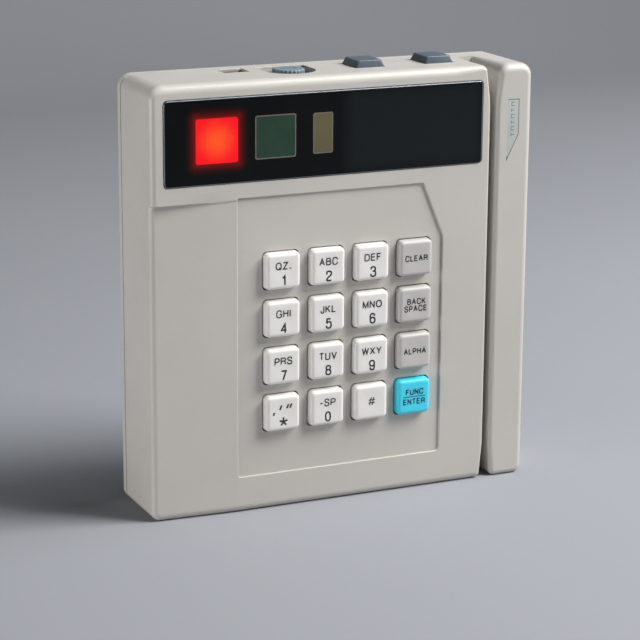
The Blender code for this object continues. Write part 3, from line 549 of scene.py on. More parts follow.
def body_outline():
    """Front housing across y, with the slot's side opening towards its ends."""
    lower_corner, upper_corner = BODY_SLOT_CORNERS
    corners = [(0, 0, BOTTOM_CORNER), (BODY_WIDTH - LOWER_FLARE, 0, lower_corner),
               (BODY_WIDTH, FLARE_LENGTH, FLARE_BEND), (BODY_WIDTH, HEIGHT - FLARE_LENGTH, FLARE_BEND),
               (BODY_WIDTH - BODY_FLARE, HEIGHT, upper_corner), (0, HEIGHT, TOP_CORNER)]
    return refined(arc_outline(corners), 6.0)


def narrowed_top(x, radius):
    """The top fillet narrows where it nears the slot's tighter corner."""
    share = min(1.0, max(0.0, (x - BODY_WIDTH + NARROW_START) / NARROW_LENGTH))
    return radius + (NARROW_FILLET - radius) * share * share * (3 - 2 * share)


def bisect(bm, axis, level):
    normal = [0.0, 0.0, 0.0]
    normal[axis] = 1.0
    place = [level * share for share in normal]
    geometry = bm.verts[:] + bm.edges[:] + bm.faces[:]
    bmesh.ops.bisect_plane(bm, geom=geometry, dist=1e-4, plane_co=place, plane_no=normal)


def lean_back(bm):
    """Leans the lower left of the front back from the panel, with a step under the window's bezel."""
    for share in (1.0, 0.66, 0.33):
        bisect(bm, X, LEAN_RIGHT * share)
    bisect(bm, Z, LEAN_TOP)
    bisect(bm, Z, LEAN_TOP - STEP_HEIGHT)
    for vert in bm.verts:
        if vert.co.z < LEAN_TOP - STEP_HEIGHT + 1e-3 and vert.co.x < LEAN_RIGHT:
            depth = LEAN_DEPTH * (1 - vert.co.x / LEAN_RIGHT)
            vert.co.y += depth * (1 - vert.co.y / PARTING_Y)


def panel_outline():
    corners = ((PANEL_LEFT, PANEL_BOTTOM), (PANEL_RIGHT, PANEL_BOTTOM), (PANEL_RIGHT, PANEL_CUT_Z),
               (PANEL_CUT_X, PANEL_TOP), (PANEL_LEFT, PANEL_TOP))
    return arc_outline([(*corner, radius) for corner, radius in zip(corners, PANEL_RADII)])


def middle(node, axis):
    """Middle of a node across x and along another axis."""
    low, high = span(node)
    return (low.x + high.x) / 2, (low[axis] + high[axis]) / 2


def well_outline(margin):
    """U round the dial, closed by a straight back."""
    radius = WELL_RADIUS + margin
    back = WELL_BACK_Y + margin
    turns = [math.pi * (1 + step / WELL_STEPS) for step in range(WELL_STEPS + 1)]
    arc = [Vector((WELL_X + radius * math.cos(turn), WELL_Y + radius * math.sin(turn))) for turn in turns]
    return [Vector((WELL_X - radius, back)), *arc, Vector((WELL_X + radius, back))]


def button_outline(side, margin, corner=BUTTON_CORNER):
    x, y = middle(f"top_button_{side}", Y)
    half_width, half_depth = BUTTON_WIDTH / 2 + margin, BUTTON_DEPTH / 2 + margin
    return rounded_box(x - half_width, x + half_width, y - half_depth, y + half_depth, corner, 5)


def top_openings():
    """Openings in the top edge for the phone socket, the dial and the two buttons."""
    outlines = [rounded_box(*JACK_X, *JACK_Y, JACK_CORNER, 3), well_outline(0.0)]
    outlines.extend(button_outline(side, BUTTON_GAP, BUTTON_HOLE_CORNER) for side in ("left", "right"))
    floor = HEIGHT - OPENING_DEPTH
    return merged([opening_cutter(outline, Z, floor, HEIGHT, OPENING_EDGE) for outline in outlines])


def dial_tub():
    """Walls and floor of the dial's well, hanging from the top wall."""
    x, y = middle("volume_dial", Y)
    low, high = span("dial_control")
    half = (high.x - low.x) / 2 + CONTROL_GAP
    top, floor = HEIGHT - WALL + TUB_OVERLAP, high.z - CONTROL_RISE
    return work_object(
        "dial_tub", prism(well_outline(TUB_WALL), Z, floor - TUB_FLOOR, top),
        prism(well_outline(0.0), Z, floor, top + PAST),
        block((x - half, x + half), (y - half, y + half), (floor - TUB_FLOOR - PAST, floor + PAST)))


def seam_rings(outline):
    """Rear end of a shell, with the groove that shows as the parting line."""
    recessed = inset(outline, SEAM_DEPTH)
    start = PARTING_Y - SEAM_WIDTH
    return [ring(outline, Y, start), ring(recessed, Y, start + SEAM_SLOPE),
            ring(recessed, Y, PARTING_Y)]


def window_openings():
    """Pocket that the window sits in, and the opening behind it."""
    pocket = framed(*PANE, PANE_GAP, PANE_CORNER + 0.1)
    yield opening_cutter(pocket, Y, PANE[1].y + 0.1, 0.0)
    yield prism(framed(*PANE, -PANE_LEDGE, 1.0), Y, LEDGE_FRONT, FRONT_WALL + PAST)


def key_hole_cutters():
    half = KEY_HOLE / 2
    for name in KEY_NAMES:
        x, z = middle(name, Z)
        hole = rounded_box(x - half, x + half, z - half, z + half, KEY_CORNER)
        yield opening_cutter(hole, Y, FRONT_WALL + PAST, PANEL_DEPTH, KEY_HOLE_EDGE)


def build_housing():
    outline = body_outline()
    shell = loft(rim_rings(outline, rim_radii(outline, FRONT_FILLETS, narrowed_top), 0.0, 1)
                 + seam_rings(outline))
    lean_back(shell)
    cavity = rounded_box(WALL, BODY_WIDTH - WALL - BODY_FLARE, WALL, HEIGHT - WALL, CAVITY_CORNER)
    low, high = span("read_head")
    housing = work_object(
        "housing_shell", shell, prism(cavity, Y, FRONT_WALL, PARTING_Y + PAST),
        opening_cutter(panel_outline(), Y, PANEL_DEPTH, 0.0, PANEL_EDGE), *window_openings(),
        merged(key_hole_cutters()), top_openings(),
        block((BODY_WIDTH - HEAD_WINDOW, BODY_WIDTH + PAST), (low.y - HEAD_GAP, high.y + HEAD_GAP),
              (low.z - HEAD_GAP, high.z + HEAD_GAP)))
    finish_piece(housing, "housing_plastic", replaces=["front_housing"], weighted=True)
    finish_piece(dial_tub(), "housing_plastic", weighted=True)


# Card rail, with the bridge behind the slot

def rail_outline(share):
    """Rail across y; the slot's funnel gets smaller from the front, share 0, to its floor, share 1."""
    lower_corner, upper_corner = RAIL_SLOT_CORNERS
    flare = RAIL_FLARE - FLARE_LOSS * share ** 2
    corners = [(RAIL_LEFT + LOWER_FLARE, 0, lower_corner), (RAIL_RIGHT, 0, BOTTOM_CORNER),
               (RAIL_RIGHT, HEIGHT, RAIL_TOP_CORNER),
               (RAIL_LEFT + flare, HEIGHT, upper_corner - CORNER_LOSS * share ** 2),
               (RAIL_LEFT, HEIGHT - FLARE_LENGTH, FLARE_BEND), (RAIL_LEFT, FLARE_LENGTH, FLARE_BEND)]
    return arc_outline(corners)


def bridge_outline():
    """Rail and bridge together behind the slot, run on into the housing's side so that no line shows."""
    left, joined = BODY_WIDTH - BODY_FLARE - BRIDGE_OVERLAP, BODY_WIDTH + 1.0
    corners = [(left, BRIDGE_DROP, BRIDGE_CORNER), (joined, 0, BRIDGE_CORNER), (RAIL_RIGHT, 0, BOTTOM_CORNER),
               (RAIL_RIGHT, HEIGHT, RAIL_TOP_CORNER), (joined, HEIGHT, BRIDGE_CORNER),
               (left, HEIGHT - BRIDGE_DROP, BRIDGE_CORNER)]
    return arc_outline(corners)


def build_rail():
    outline = rail_outline(0.0)
    rings = rim_rings(outline, rim_radii(outline, RAIL_FILLETS), 0.0, 1)
    for share in (0.25, 0.45, 0.65, 0.85, 1.0):
        rings.append(ring(rail_outline(share), Y, SLOT_FLOOR_Y * share))
    rings.append(ring(bridge_outline(), Y, SLOT_FLOOR_Y))
    rail = work_object("rail_shell", loft(rings + seam_rings(bridge_outline())))
    finish_piece(rail, "housing_plastic", replaces=["card_rail", "slot_spacer"], weighted=True)


def label_outline(margin):
    left, right, top = LABEL_LEFT + margin, LABEL_RIGHT - margin, LABEL_TOP - margin
    return [Vector((left, LABEL_TIP + TIP_RISE * margin)),
            Vector((right, LABEL_SHOULDER + SHOULDER_RISE * margin)),
            Vector((right, top)), Vector((left, top))]


def label_marks():
    """Six marks down the label, each a stem with one bar or two across it."""
    for index in range(MARK_COUNT):
        centre_z = LABEL_TOP - MARK_DROP - MARK_PITCH * index
        for offset in (-MARK_HALF, 0.0, MARK_HALF)[index % 2::2]:
            yield block((LABEL_LEFT + MARK_LEFT, LABEL_LEFT + MARK_RIGHT), (-BAR_LIFT, 0.0),
                        (centre_z + offset - BAR_HALF, centre_z + offset + BAR_HALF))
        yield block((LABEL_LEFT + MARK_LEFT, LABEL_LEFT + STEM_RIGHT), (-STEM_LIFT, 0.0),
                    (centre_z - MARK_HALF, centre_z + MARK_HALF))


def build_stripe_label():
    """Arrow label beside the slot: a film, a thin line round it but for its left side, and its marks."""
    edge = work_object("stripe_label_edge", prism(label_outline(0.0), Y, -LINE_LIFT, LABEL_SINK),
                       prism(label_outline(LABEL_LINE), Y, -PAST, PAST),
                       block((LABEL_LEFT - PAST, LABEL_LEFT + LABEL_LINE), (-PAST, PAST),
                             (LABEL_TIP + 2.0, LABEL_TOP + PAST)))
    finish_piece(edge, "control_grey", ["label_ink"])
    film = prism(label_outline(LABEL_LINE), Y, -FILM_LIFT, LABEL_SINK)
    finish_piece(work_object("stripe_label_film", film), "housing_plastic", ["label"])
    finish_piece(work_object("stripe_label_marks", merged(label_marks())), "control_grey", ["label_ink"])


# Rear cover

def sink_outline(node, margin, count):
    """Circle round a screw or a foot, a margin wider than it."""
    low, high = span(node)
    return circle(*middle(node, Z), (high.x - low.x) / 2 + margin, count)


def cover_sinks():
    """Screw holes with their sinks, the feet's recesses and the rating plate's."""
    beyond = BACK_Y + PAST
    for corner in CORNERS:
        screw = f"cover_screw_{corner}"
        yield prism(sink_outline(screw, SCREW_GAP, 32), Y, BACK_Y - SCREW_SINK, beyond)
        yield prism(circle(*middle(screw, Z), SCREW_SHANK, 24), Y, COVER_FRONT_Y - BOSS_DEPTH,
                    BACK_Y - SCREW_SEAT)
    for corner in CORNERS:
        front = span(f"rubber_foot_{corner}")[0].y
        yield prism(sink_outline(f"rubber_foot_{corner}", FOOT_GAP, 64), Y, front - FOOT_GAP, beyond)
    yield prism(framed(*PLATE, 0.0, PLATE_CORNERS[0]), Y, BACK_Y - PLATE_RECESS, beyond)


def build_cover():
    corners = [(0, 0, BOTTOM_CORNER), (RAIL_RIGHT, 0, BOTTOM_CORNER), (RAIL_RIGHT, HEIGHT, RAIL_TOP_CORNER),
               (0, HEIGHT, TOP_CORNER)]
    outline = refined(arc_outline(corners), 8.0)
    rings = rim_rings(outline, rim_radii(outline, REAR_FILLETS), BACK_Y, -1)
    for distance, level in ((0.0, SEAM_CHAMFER), (SEAM_CHAMFER, 0.0),
                            (LIP_INSET, 0.0), (LIP_INSET, -LIP_REACH)):
        rings.append(ring(inset(outline, distance), Y, COVER_FRONT_Y + level))
    inside = rounded_box(WALL, RAIL_RIGHT - WALL, WALL, HEIGHT - WALL, CAVITY_CORNER)
    hollow = prism(inside, Y, COVER_FRONT_Y - LIP_REACH - PAST, BACK_Y - WALL)
    cover = work_object("rear_shell", loft(rings), hollow, merged(cover_sinks()))
    finish_piece(cover, "housing_plastic", replaces=["rear_cover"], weighted=True)
    build_dark_parting_band(outline)


def build_dark_parting_band(outline):
    """Dark band inside the parting line: painted shade of the gap between the shells."""
    front, back = PARTING_Y - SEAM_WIDTH - DARK_BAND_BEYOND, COVER_FRONT_Y + DARK_BAND_BEYOND
    inside = inset(outline, DARK_BAND_INSET + DARK_BAND_WIDTH)
    gap_shade = work_object("parting_shade_band", prism(inset(outline, DARK_BAND_INSET), Y, front, back),
                       prism(inside, Y, PARTING_Y - PAST, COVER_FRONT_Y + PAST))
    finish_piece(gap_shade, "housing_plastic", ["gap_shade"])


def build_rating_plate():
    """Rating plate in its recess, with rules where its text would be."""
    outline = framed(*PLATE, -PLATE_GAP, PLATE_CORNERS[1])
    plate = work_object("rating_plate", prism(outline, Y, BACK_Y - PLATE_BACK, BACK_Y - PLATE_FACE))
    finish_piece(plate, "steel", ["plate"])
    right = PLATE[1].x - RULE_SIDE
    rules = []
    for index in range(RULE_COUNT):
        z = PLATE[1].z - RULE_DROP - RULE_PITCH * index
        length = RULE_LENGTHS[index % len(RULE_LENGTHS)]
        rules.append(block((right - length, right), (BACK_Y - RULE_BACK, BACK_Y - RULE_FACE),
                           (z - RULE_HALF, z + RULE_HALF)))
    finish_piece(work_object("rating_plate_rules", merged(rules)), "control_grey", ["ink"])


# Window and lenses

def build_window():
    low, high = PANE
    outline = framed(low, high, 0.0, PANE_CORNER)
    rings = rim_rings(outline, [PANE_EDGE] * len(outline), low.y, 1, 5)
    rings.append(ring(outline, Y, high.y))
    pockets = [prism(lens_outline(colour, 0.0), Y, low.y - PAST, low.y + LENS_POCKET)
               for colour in ("red", "green", "amber")]
    pane = work_object("window_pane", loft(rings), merged(pockets))
    # the rim's sloping faces take the paler finish, a painted highlight along the window's edge
    for face in pane.data.polygons:
        sloping = 0.4 < abs(face.normal.y) < 0.95
        near_edge = (min(face.center.x - low.x, high.x - face.center.x) < PANE_EDGE
                     or min(face.center.z - low.z, high.z - face.center.z) < PANE_EDGE)
        face.material_index = 1 if sloping and near_edge else 0
    finish_piece(pane, "smoked_window", ["smoked_window", "window_rim_painted_highlight"], replaces=["display_window"],
                 weighted=True)


def lens_outline(colour, margin, corner=0.8):
    return framed(*span(f"{colour}_lens"), -margin, corner, 4)


def build_lens_face(colour, border, corner, materials=()):
    """Lens as it shows in the face of the smoked window, with its moulded rim if it has a border."""
    front, back = PANE[0].y + LENS_SINK, PANE[0].y + LENS_BACK
    lens = prism(lens_outline(colour, border + 0.01, corner), Y, front, back)
    finish_piece(work_object(f"{colour}_lens_face", lens), f"{colour}_lens", materials)
    if border:
        band = prism(lens_outline(colour, 0.012, 0.6), Y, PANE[0].y + RIM_SINK, back)
        hole = prism(lens_outline(colour, border, 0.5), Y, front - PAST, back + PAST)
        rim = work_object(f"{colour}_lens_rim", band, hole)
        finish_piece(rim, f"{colour}_lens", ["lens_rim"])


def build_lenses():
    build_lens_face("red", 0.0, 1.1, ["lit_lens"])
    build_lens_face("green", LENS_BORDER, 0.5)
    build_lens_face("amber", LENS_BORDER, 0.5)


# Keys

def dish(across, up):
    """Depth of the key top's hollow at a place from its centre."""
    reach = min(1.0, math.hypot(across, up) / DISH_REACH)
    return DISH_DEPTH * (1 - reach * reach) ** 1.5


def key_rings(x, z, face):
    """Cap from its skirt to its dished top, which faces the front."""
    half = KEY_SIZE / 2
    skirt = refined(rounded_box(x - half, x + half, z - half, z + half, KEY_CORNER, 6), SKIRT_STEP)
    rings = [ring(skirt, Y, level) for level in (KEY_SKIRT_Y, PANEL_DEPTH)]
    outline = inset(skirt, KEY_TAPER)
    for down, across in quarter_turn(ROUND_STEPS):
        rings.append(ring(inset(outline, KEY_ROUND * across), Y, face + KEY_ROUND * down))
    centre = Vector((x, z))
    for step in range(1, DISH_STEPS):
        share = 1 - step / DISH_STEPS
        places = []
        for point in inset(outline, KEY_ROUND):
            way = point - centre
            rounder = min(way.length, half - KEY_TAPER - KEY_ROUND)
            inner = centre + way.normalized() * share * (way.length * share + rounder * (1 - share))
            places.append((inner.x, face + dish(inner.x - x, inner.y - z), inner.y))
        rings.append(places)
    return rings


def build_keys():
    for name in KEY_NAMES:
        x, z = middle(name, Z)
        face = span(name)[0].y + LEGEND_LIFT + LEGEND_GAP
        cap = work_object(f"{name}_cap", loft(key_rings(x, z, face)))
        finish_piece(cap, KEY_SLOTS.get(name, "key_white"), body=name, replaces=[name], sharp=60)
        build_legend(name, x, z, face)


# Printing on the keys

LETTER_HEIGHT, LETTER_PEN, LETTER_WIDTH = 3.05, 0.50, 1.09
DIGIT_HEIGHT, DIGIT_PEN, DIGIT_WIDTH = 4.2, 0.66, 1.08
WORD_HEIGHT, WORD_PEN, WORD_WIDTH = 2.45, 0.45, 1.02
LETTER_PLACE, DIGIT_PLACE = (-0.1, 2.2), (0.1, -3.6)  # centres, from the key's centre
LETTER_GAP = 0.16  # in letter heights
STAR_DOWN, STAR_REACH, STAR_PEN = 3.4, 1.75, 0.70
SLANT, SLANT_PEN = 0.36, 0.72
SLANTED = (-4.3, -0.5, 1.2), (-1.5, 1.5, 1.8), (1.5, 1.9, 1.7), (2.8, 2.0, 1.7)  # across, up, length
HASH_PEN, HASH_LEVELS, HASH_SIDES, HASH_LEAN = 0.44, (-0.25, 0.95), (-0.4, 0.75), 0.35
HASH_ACROSS, HASH_UP = (-1.15, 1.55), (-1.3, 2.0)
ENTER_RULE_HALF, ENTER_RULE_UP, ENTER_RULE_PEN = 5.0, 0.12, 0.30
SPLITS, SMOOTHED_LEAST = 4, 12  # of straight lines; points of a smoothed line
LONGEST_MITRE = 0.45  # the least cosine that a corner widens by

LEGENDS = {"1": "QZ.", "2": "ABC", "3": "DEF", "4": "GHI", "5": "JKL", "6": "MNO", "7": "PRS",
           "8": "TUV", "9": "WXY", "0": "-SP"}
WORDS = {  # each word with its centre
    "key_clear": (("CLEAR", (0.0, 0.0)),), "key_alpha": (("ALPHA", (0.0, 0.0)),),
    "key_back_space": (("BACK", (0.3, 1.45)), ("SPACE", (0.0, -1.45))),
    "key_enter": (("FUNC", (0.2, 2.1)), ("ENTER", (0.0, -1.9))),
}

# Plain lettering, in hundredths of its height: the width, then strokes of u,v points. Round strokes are
# smoothed along their points, loops are smoothed and closed, and lines keep their corners.
GLYPHS = {
    "A": (70, "line 0,0 35,100 70,0", "line 13,36 57,36"),
    "B": (62, "line 0,0 0,100", "round 0,100 58,100 58,54 0,54", "round 0,54 66,54 66,0 0,0"),
    "C": (70, "round 69,70 62,104 0,104 0,-4 62,-4 70,34"),
    "D": (68, "line 0,0 0,100", "round 0,100 69,100 69,0 0,0"),
    "E": (56, "line 56,0 0,0 0,100 54,100", "line 0,53 50,53"),
    "F": (53, "line 0,0 0,100 53,100", "line 0,52 46,52"),
    "G": (73, "round 70,72 62,104 0,104 0,-4 66,-4 72,30", "line 42,46 73,46 73,0"),
    "H": (62, "line 0,0 0,100", "line 62,0 62,100", "line 0,53 62,53"),
    "I": (2, "line 1,0 1,100"),
    "J": (42, "round 42,100 42,30 42,-5 0,-5 0,32"),
    "K": (62, "line 0,0 0,100", "line 60,100 0,38", "line 22,60 64,0"),
    "L": (50, "line 0,100 0,0 50,0"),
    "M": (76, "line 0,0 0,100 38,5 76,100 76,0"),
    "N": (64, "line 0,0 0,100 64,0 64,100"),
    "O": (76, "loop 0,0 76,0 76,100 0,100"),
    "P": (60, "line 0,0 0,100", "round 0,100 62,100 62,44 0,44"),
    "Q": (76, "loop 0,0 76,0 76,100 0,100", "line 44,24 74,-6"),
    "R": (64, "line 0,0 0,100", "round 0,100 64,100 64,50 0,50", "round 36,50 60,48 60,20 66,0"),
    "S": (62, "round 58,74 56,104 2,104 2,56 62,48 62,-4 2,-4 0,30"),
    "T": (62, "line 31,0 31,100", "line 0,100 62,100"),
    "U": (62, "round 0,100 0,40 0,-5 62,-5 62,40 62,100"),
    "V": (66, "line 0,100 33,0 66,100"),
    "W": (94, "line 0,100 23,0 47,100 71,0 94,100"),
    "X": (66, "line 0,0 66,100", "line 0,100 66,0"),
    "Y": (66, "line 0,100 33,42 66,100", "line 33,42 33,0"),
    "Z": (60, "line 0,100 60,100 0,0 60,0"),
    "0": (52, "loop 0,0 52,0 52,100 0,100"),
    "1": (30, "line 2,76 24,100 24,0"),
    "2": (52, "round 2,68 2,103 52,103 54,60 8,30 0,0", "line 0,0 52,0"),
    "3": (52, "round 2,76 6,103 50,103 50,55 20,55", "round 20,55 54,55 54,-3 2,-3 0,28"),
    "4": (54, "line 40,0 40,100 0,30 54,30"),
    "5": (52, "line 48,100 10,100 4,50", "round 4,50 16,66 53,68 53,-3 4,-3 0,26"),
    "6": (52, "round 49,76 46,103 0,106 0,30", "loop 0,0 52,0 52,62 0,62"),
    "7": (50, "line 0,100 50,100 16,0"),
    "8": (52, "loop 3,54 49,54 49,100 3,100", "loop 0,0 52,0 52,54 0,54"),
    "9": (52, "round 3,24 6,-3 52,-6 52,70", "loop 0,38 52,38 52,100 0,100"),
    ".": (20, "line 3,0 3,16", "line 17,0 17,16"),
    "-": (40, "line 0,44 40,44"),
}


def smoothed(points, closed):
    """Rounds a line's corners by cutting them, three times over."""
    for _ in range(3):
        cutting = []
        for start, end in zip(points, points[1:] + points[:1] if closed else points[1:]):
            cutting.extend((start.lerp(end, 0.25), start.lerp(end, 0.75)))
        points = cutting if closed else [points[0], *cutting[1:-1], points[-1]]
    return points


def text_strokes(text, height, pen, widening, centre):
    """Strokes of a word, in millimetres from the key's centre: the line, if it closes, and its width."""
    unit = height - pen
    across = unit * widening
    gap = LETTER_GAP * across + pen
    start = centre[0] - (sum(GLYPHS[sign][0] for sign in text) / 100 * across + (len(text) - 1) * gap) / 2
    strokes = []
    for sign in text:
        width, *lines = GLYPHS[sign]
        for kind, *points in map(str.split, lines):
            places = [[int(number) / 100 for number in point.split(",")] for point in points]
            line = [Vector((start + u * across, centre[1] + (v - 0.5) * unit)) for u, v in places]
            if kind != "line":
                line = smoothed(line, kind == "loop")
            strokes.append((line, kind == "loop", pen))
        start += width / 100 * across + gap
    return strokes


def star_strokes():
    """The star, and the punctuation above it as slanting strokes."""
    centre = Vector((0.0, -STAR_DOWN))
    strokes = []
    for spoke in range(5):
        turned = math.pi * (0.5 + 0.4 * spoke)
        tip = centre + Vector((STAR_REACH * math.cos(turned), STAR_REACH * math.sin(turned)))
        strokes.append(([centre, tip], False, STAR_PEN))
    for u, v, length in SLANTED:
        strokes.append(([Vector((u, v)), Vector((u + SLANT * length, v + length))], False, SLANT_PEN))
    return strokes


def hash_strokes():
    (left, right), (low, high) = HASH_ACROSS, HASH_UP
    lines = [[Vector((left, level)), Vector((right, level))] for level in HASH_LEVELS]
    lines.extend([Vector((side - HASH_LEAN, low)), Vector((side + HASH_LEAN, high))] for side in HASH_SIDES)
    return [(line, False, HASH_PEN) for line in lines]


def key_strokes(name):
    if name == "key_star":
        return star_strokes()
    if name == "key_hash":
        return hash_strokes()
    strokes = []
    digit = name[-1]
    if digit in LEGENDS:
        strokes += text_strokes(LEGENDS[digit], LETTER_HEIGHT, LETTER_PEN, LETTER_WIDTH, LETTER_PLACE)
        strokes += text_strokes(digit, DIGIT_HEIGHT, DIGIT_PEN, DIGIT_WIDTH, DIGIT_PLACE)
    for word, centre in WORDS.get(name, ()):
        strokes += text_strokes(word, WORD_HEIGHT, WORD_PEN, WORD_WIDTH, centre)
    if name == "key_enter":
        rule = [Vector((across, ENTER_RULE_UP)) for across in (-ENTER_RULE_HALF, ENTER_RULE_HALF)]
        strokes.append((rule, False, ENTER_RULE_PEN))
    return strokes


def stroke_solid(line, closed, pen, place):
    """Ribbon of ink along a line, laid over the key top by place(across, up, lift)."""
    if closed:
        line = line + line[:1]
    elif len(line) < SMOOTHED_LEAST:
        pairs = list(zip(line, line[1:]))
        line = [start.lerp(end, step / SPLITS) for start, end in pairs for step in range(SPLITS)] + line[-1:]
    ways = [(end - start).normalized() for start, end in zip(line, line[1:])]
    rings = []
    for index, point in enumerate(line):
        before = ways[index - 1] if index or closed else ways[0]
        after = ways[index % len(ways)] if index < len(ways) or closed else ways[-1]
        side = Vector((-before.y - after.y, before.x + after.x)).normalized()
        reach = pen / 2 / max(LONGEST_MITRE, side.dot(Vector((-before.y, before.x))))
        left, right = point + side * reach, point - side * reach
        rings.append([place(*left, -LEGEND_LIFT), place(*right, -LEGEND_LIFT),
                      place(*right, LEGEND_LIFT), place(*left, LEGEND_LIFT)])
    return loft(rings)


def build_legend(name, x, z, face):
    """Printing on a key, laid over its dished top."""
    def place(across, up, lift):
        return x + across, face + dish(across, up) + lift, z + up

    solids = [stroke_solid(*stroke, place) for stroke in key_strokes(name)]
    finish_piece(work_object(f"{name}_legend", merged(solids)), "control_grey", ["ink"], body=name)


# Top edge

def build_button(side):
    """Button with its flange and stem below the top edge, and a slightly arched top."""
    node = f"top_button_{side}"
    low, high = span(node)
    flange_bottom, flange_top = low.z + STEM_HEIGHT, HEIGHT - WALL - BUTTON_GAP
    profile = ((-STEM_INSET, low.z), (-STEM_INSET, flange_bottom), (BUTTON_FLANGE, flange_bottom),
               (BUTTON_FLANGE, flange_top), (0.0, flange_top), (0.0, HEIGHT))
    rings = [ring(button_outline(side, margin), Z, level) for margin, level in profile]
    outline = button_outline(side, -BUTTON_INSET, BUTTON_TOP_CORNER)
    top = high.z - BUTTON_ARCH
    rings.extend(reversed(rim_rings(outline, [BUTTON_ROUND] * len(outline), top, -1, 6, Z)))
    centre = Vector(middle(node, Y))
    for share in (0.86, 0.6, 0.3, 0.08):
        inner = [centre + (point - centre) * share for point in inset(outline, BUTTON_ROUND)]
        rings.append(ring(inner, Z, top + BUTTON_ARCH * (1 - share ** 2)))
    button = work_object(f"button_{side}", loft(rings))
    finish_piece(button, "control_grey", body=node, replaces=[node])


def build_dial():
    """Toothed drum with a screwdriver groove across its rounded top, and its shaft."""
    x, y = middle("volume_dial", Y)
    low, high = span("volume_dial")
    outline = []
    for tooth in range(DIAL_TEETH):
        for part, depth in TOOTH_PROFILE:
            turn = 2 * math.pi * (tooth + part) / DIAL_TEETH
            radius = DIAL_RADIUS - TOOTH_DEPTH * depth
            outline.append(Vector((x + radius * math.cos(turn), y + radius * math.sin(turn))))
    shaft = circle(x, y, SHAFT_RADIUS, len(outline))
    bottom = high.z - DIAL_HEIGHT
    rings = [ring(shaft, Z, low.z), ring(shaft, Z, bottom), ring(outline, Z, bottom)]
    centre = Vector((x, y))
    for inward, drop in DIAL_ROUNDING:
        share = 1 - inward / DIAL_RADIUS
        rings.append(ring([centre + (point - centre) * share for point in outline], Z, high.z - drop))
    half, width = DIAL_GROOVE_HALF, DIAL_GROOVE_WIDTH / 2
    groove = rounded_box(x - half, x + half, y - width, y + width, width * 0.9)
    dial = work_object("dial_drum", loft(rings),
                       prism(groove, Z, high.z - DIAL_GROOVE_DEPTH, high.z + PAST))
    finish_piece(dial, "control_grey", ["dial"], body="volume_dial", replaces=["volume_dial"], sharp=35,
                 weighted=True)


def jack_block(margin, levels):
    """Block as wide and deep as the socket's opening, less a margin all round."""
    return block((JACK_X[0] + margin, JACK_X[1] - margin), (JACK_Y[0] + margin, JACK_Y[1] - margin), levels)


def build_phone_jack():
    """Modular socket under its opening, with a latch channel and a collar that lines the opening."""
    low, high = span("phone_jack")
    levels = (high.z - JACK_DEPTH, high.z + PAST)
    centre, front = sum(JACK_X) / 2, JACK_Y[0] + JACK_GAP
    latch = block((centre - LATCH_HALF, centre + LATCH_HALF), (front - LATCH_DEPTH, front + PAST), levels)
    jack = work_object("jack_body", block(*zip(low, high)), jack_block(JACK_GAP, levels), latch)
    round_edges(jack, JACK_EDGE, 2)
    finish_piece(jack, "black_plastic", ["jack"], replaces=["phone_jack"], weighted=True)
    collar = work_object("jack_collar", jack_block(COLLAR_GAP, (high.z + COLLAR_LIFT, HEIGHT - COLLAR_DROP)),
                         jack_block(COLLAR_WALL, (high.z - PAST, HEIGHT + PAST)))
    finish_piece(collar, "black_plastic", ["jack"])
    build_contacts(centre, JACK_Y[1] - JACK_GAP, high.z)


def build_contacts(centre, back, jack_top):
    """Four sprung contacts that slope down into the socket from its back."""
    wires = []
    for index in range(4):
        left = centre + (index - 1.5) * CONTACT_PITCH - CONTACT_HALF
        right = left + 2 * CONTACT_HALF
        ends = []
        for inward, level in ((CONTACT_TOP[0], HEIGHT - CONTACT_TOP[1]),
                              (CONTACT_BOTTOM[0], jack_top - CONTACT_BOTTOM[1])):
            near, far = back - inward, back - inward - CONTACT_THICK
            ends.append([(left, near, level), (right, near, level), (right, far, level), (left, far, level)])
        wires.append(loft(ends))
    finish_piece(work_object("jack_contacts", merged(wires)), "steel", ["gold"])


def finish_cad_nodes():
    """Procedural finishes for the CAD nodes that stay as they are."""
    for part in frame["record"]["subparts"]:
        node = frame["nodes"][part["node"]]
        if not node.hide_render:
            node.data.materials.clear()
            node.data.materials.append(MATERIALS[part["material_slot"]])


# Stage, in metres

SWEEP_NEAR, SWEEP_BEND, SWEEP_RADIUS, SWEEP_TOP, SWEEP_HALF, SWEEP_STEPS = -2.2, 0.9, 0.6, 2.4, 3.0, 16
LIGHT_AIM = Vector((0, 0, 0.07))
CAMERA_PLACE = (-0.37085, -0.80915, 0.30554)
CAMERA_YAW, CAMERA_PITCH, CAMERA_ROLL = 0.4268, 0.25967, 0.00638
CAMERA_LENS, CAMERA_SENSOR = 129.08, 36.0  # in millimetres


def paper():
    """Matt grey paper with a slow drift of tone."""
    material, tree, shader, place = new_material("studio_paper")
    tone = drift(tree, place, 3.0, 2.0)
    colour = mixed(tree, tone, (0.326, 0.338, 0.368), (0.338, 0.350, 0.380))
    feed(tree, shader, {"Base Color": colour, "Roughness": 0.9, "Specular IOR Level": 0.2})
    return material


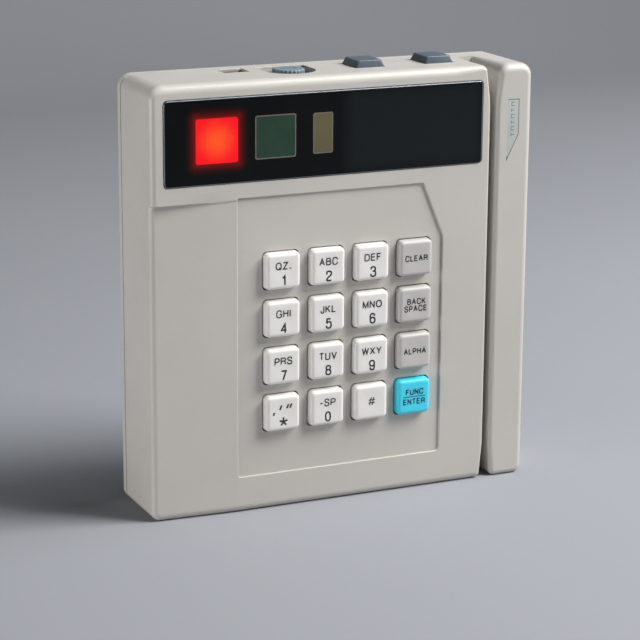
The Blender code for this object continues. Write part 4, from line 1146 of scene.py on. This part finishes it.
def build_stage():
    """Floor that sweeps up into a backdrop."""
    profile = [(SWEEP_NEAR, 0.0), (SWEEP_BEND, 0.0)]
    for step in range(1, SWEEP_STEPS + 1):
        turned = math.pi / 2 * step / SWEEP_STEPS
        profile.append((SWEEP_BEND + SWEEP_RADIUS * math.sin(turned), SWEEP_RADIUS * (1 - math.cos(turned))))
    profile.append((SWEEP_BEND + SWEEP_RADIUS, SWEEP_TOP))
    bm = bmesh.new()
    rows = [[bm.verts.new((x, y, z)) for x in (-SWEEP_HALF, SWEEP_HALF)] for y, z in profile]
    for row, following in zip(rows, rows[1:]):
        bm.faces.new((row[0], row[1], following[1], following[0]))
    sweep = work_object("studio_sweep", bm)
    sweep.data.shade_smooth()
    sweep.data.materials.append(paper())


def add_area_light(name, direction, distance, size, energy, colour):
    """Rectangular light in a direction from the object's middle, and turned to it."""
    light = bpy.data.lights.new(name, "AREA")
    light.shape = "RECTANGLE"
    light.size, light.size_y = size
    light.energy = energy
    light.color = colour
    lamp = linked_object(name, light)
    way = Vector(direction).normalized()
    lamp.location = LIGHT_AIM + way * distance
    lamp.rotation_euler = way.to_track_quat("Z", "Y").to_euler()


def build_lights():
    add_area_light("key_softbox", (0.665, -0.35, 0.655), 1.5, (0.7, 0.7), 30.0, (1.0, 0.985, 0.965))
    add_area_light("top_strip", (0.38, -0.18, 0.90), 1.5, (0.9, 0.25), 9.2, (0.93, 0.965, 1.0))
    add_area_light("left_card", (-0.965, -0.16, 0.035), 1.2, (0.9, 0.2), 7.6, (1.0, 0.99, 0.97))
    world = bpy.data.worlds.new("studio")
    world.use_nodes = True
    sky = world.node_tree.nodes["Background"]
    feed(world.node_tree, sky, {"Color": (0.92, 0.95, 1.0), "Strength": 0.01})
    bpy.context.scene.world = world


def build_camera():
    camera = bpy.data.cameras.new("camera")
    camera.lens = CAMERA_LENS
    camera.sensor_width = CAMERA_SENSOR
    holder = linked_object("camera", camera)
    turned = (Matrix.Rotation(-CAMERA_YAW, 4, "Z") @ Matrix.Rotation(math.pi / 2 - CAMERA_PITCH, 4, "X")
              @ Matrix.Rotation(CAMERA_ROLL, 4, "Z"))
    holder.matrix_world = Matrix.Translation(CAMERA_PLACE) @ turned
    bpy.context.scene.camera = holder


bpy.context.scene.view_settings.view_transform = "Standard"
build_camera()
build_housing()
build_rail()
build_stripe_label()
build_cover()
build_rating_plate()
build_window()
build_lenses()
build_keys()
build_button("left")
build_button("right")
build_dial()
build_phone_jack()
finish_cad_nodes()
build_stage()
build_lights()
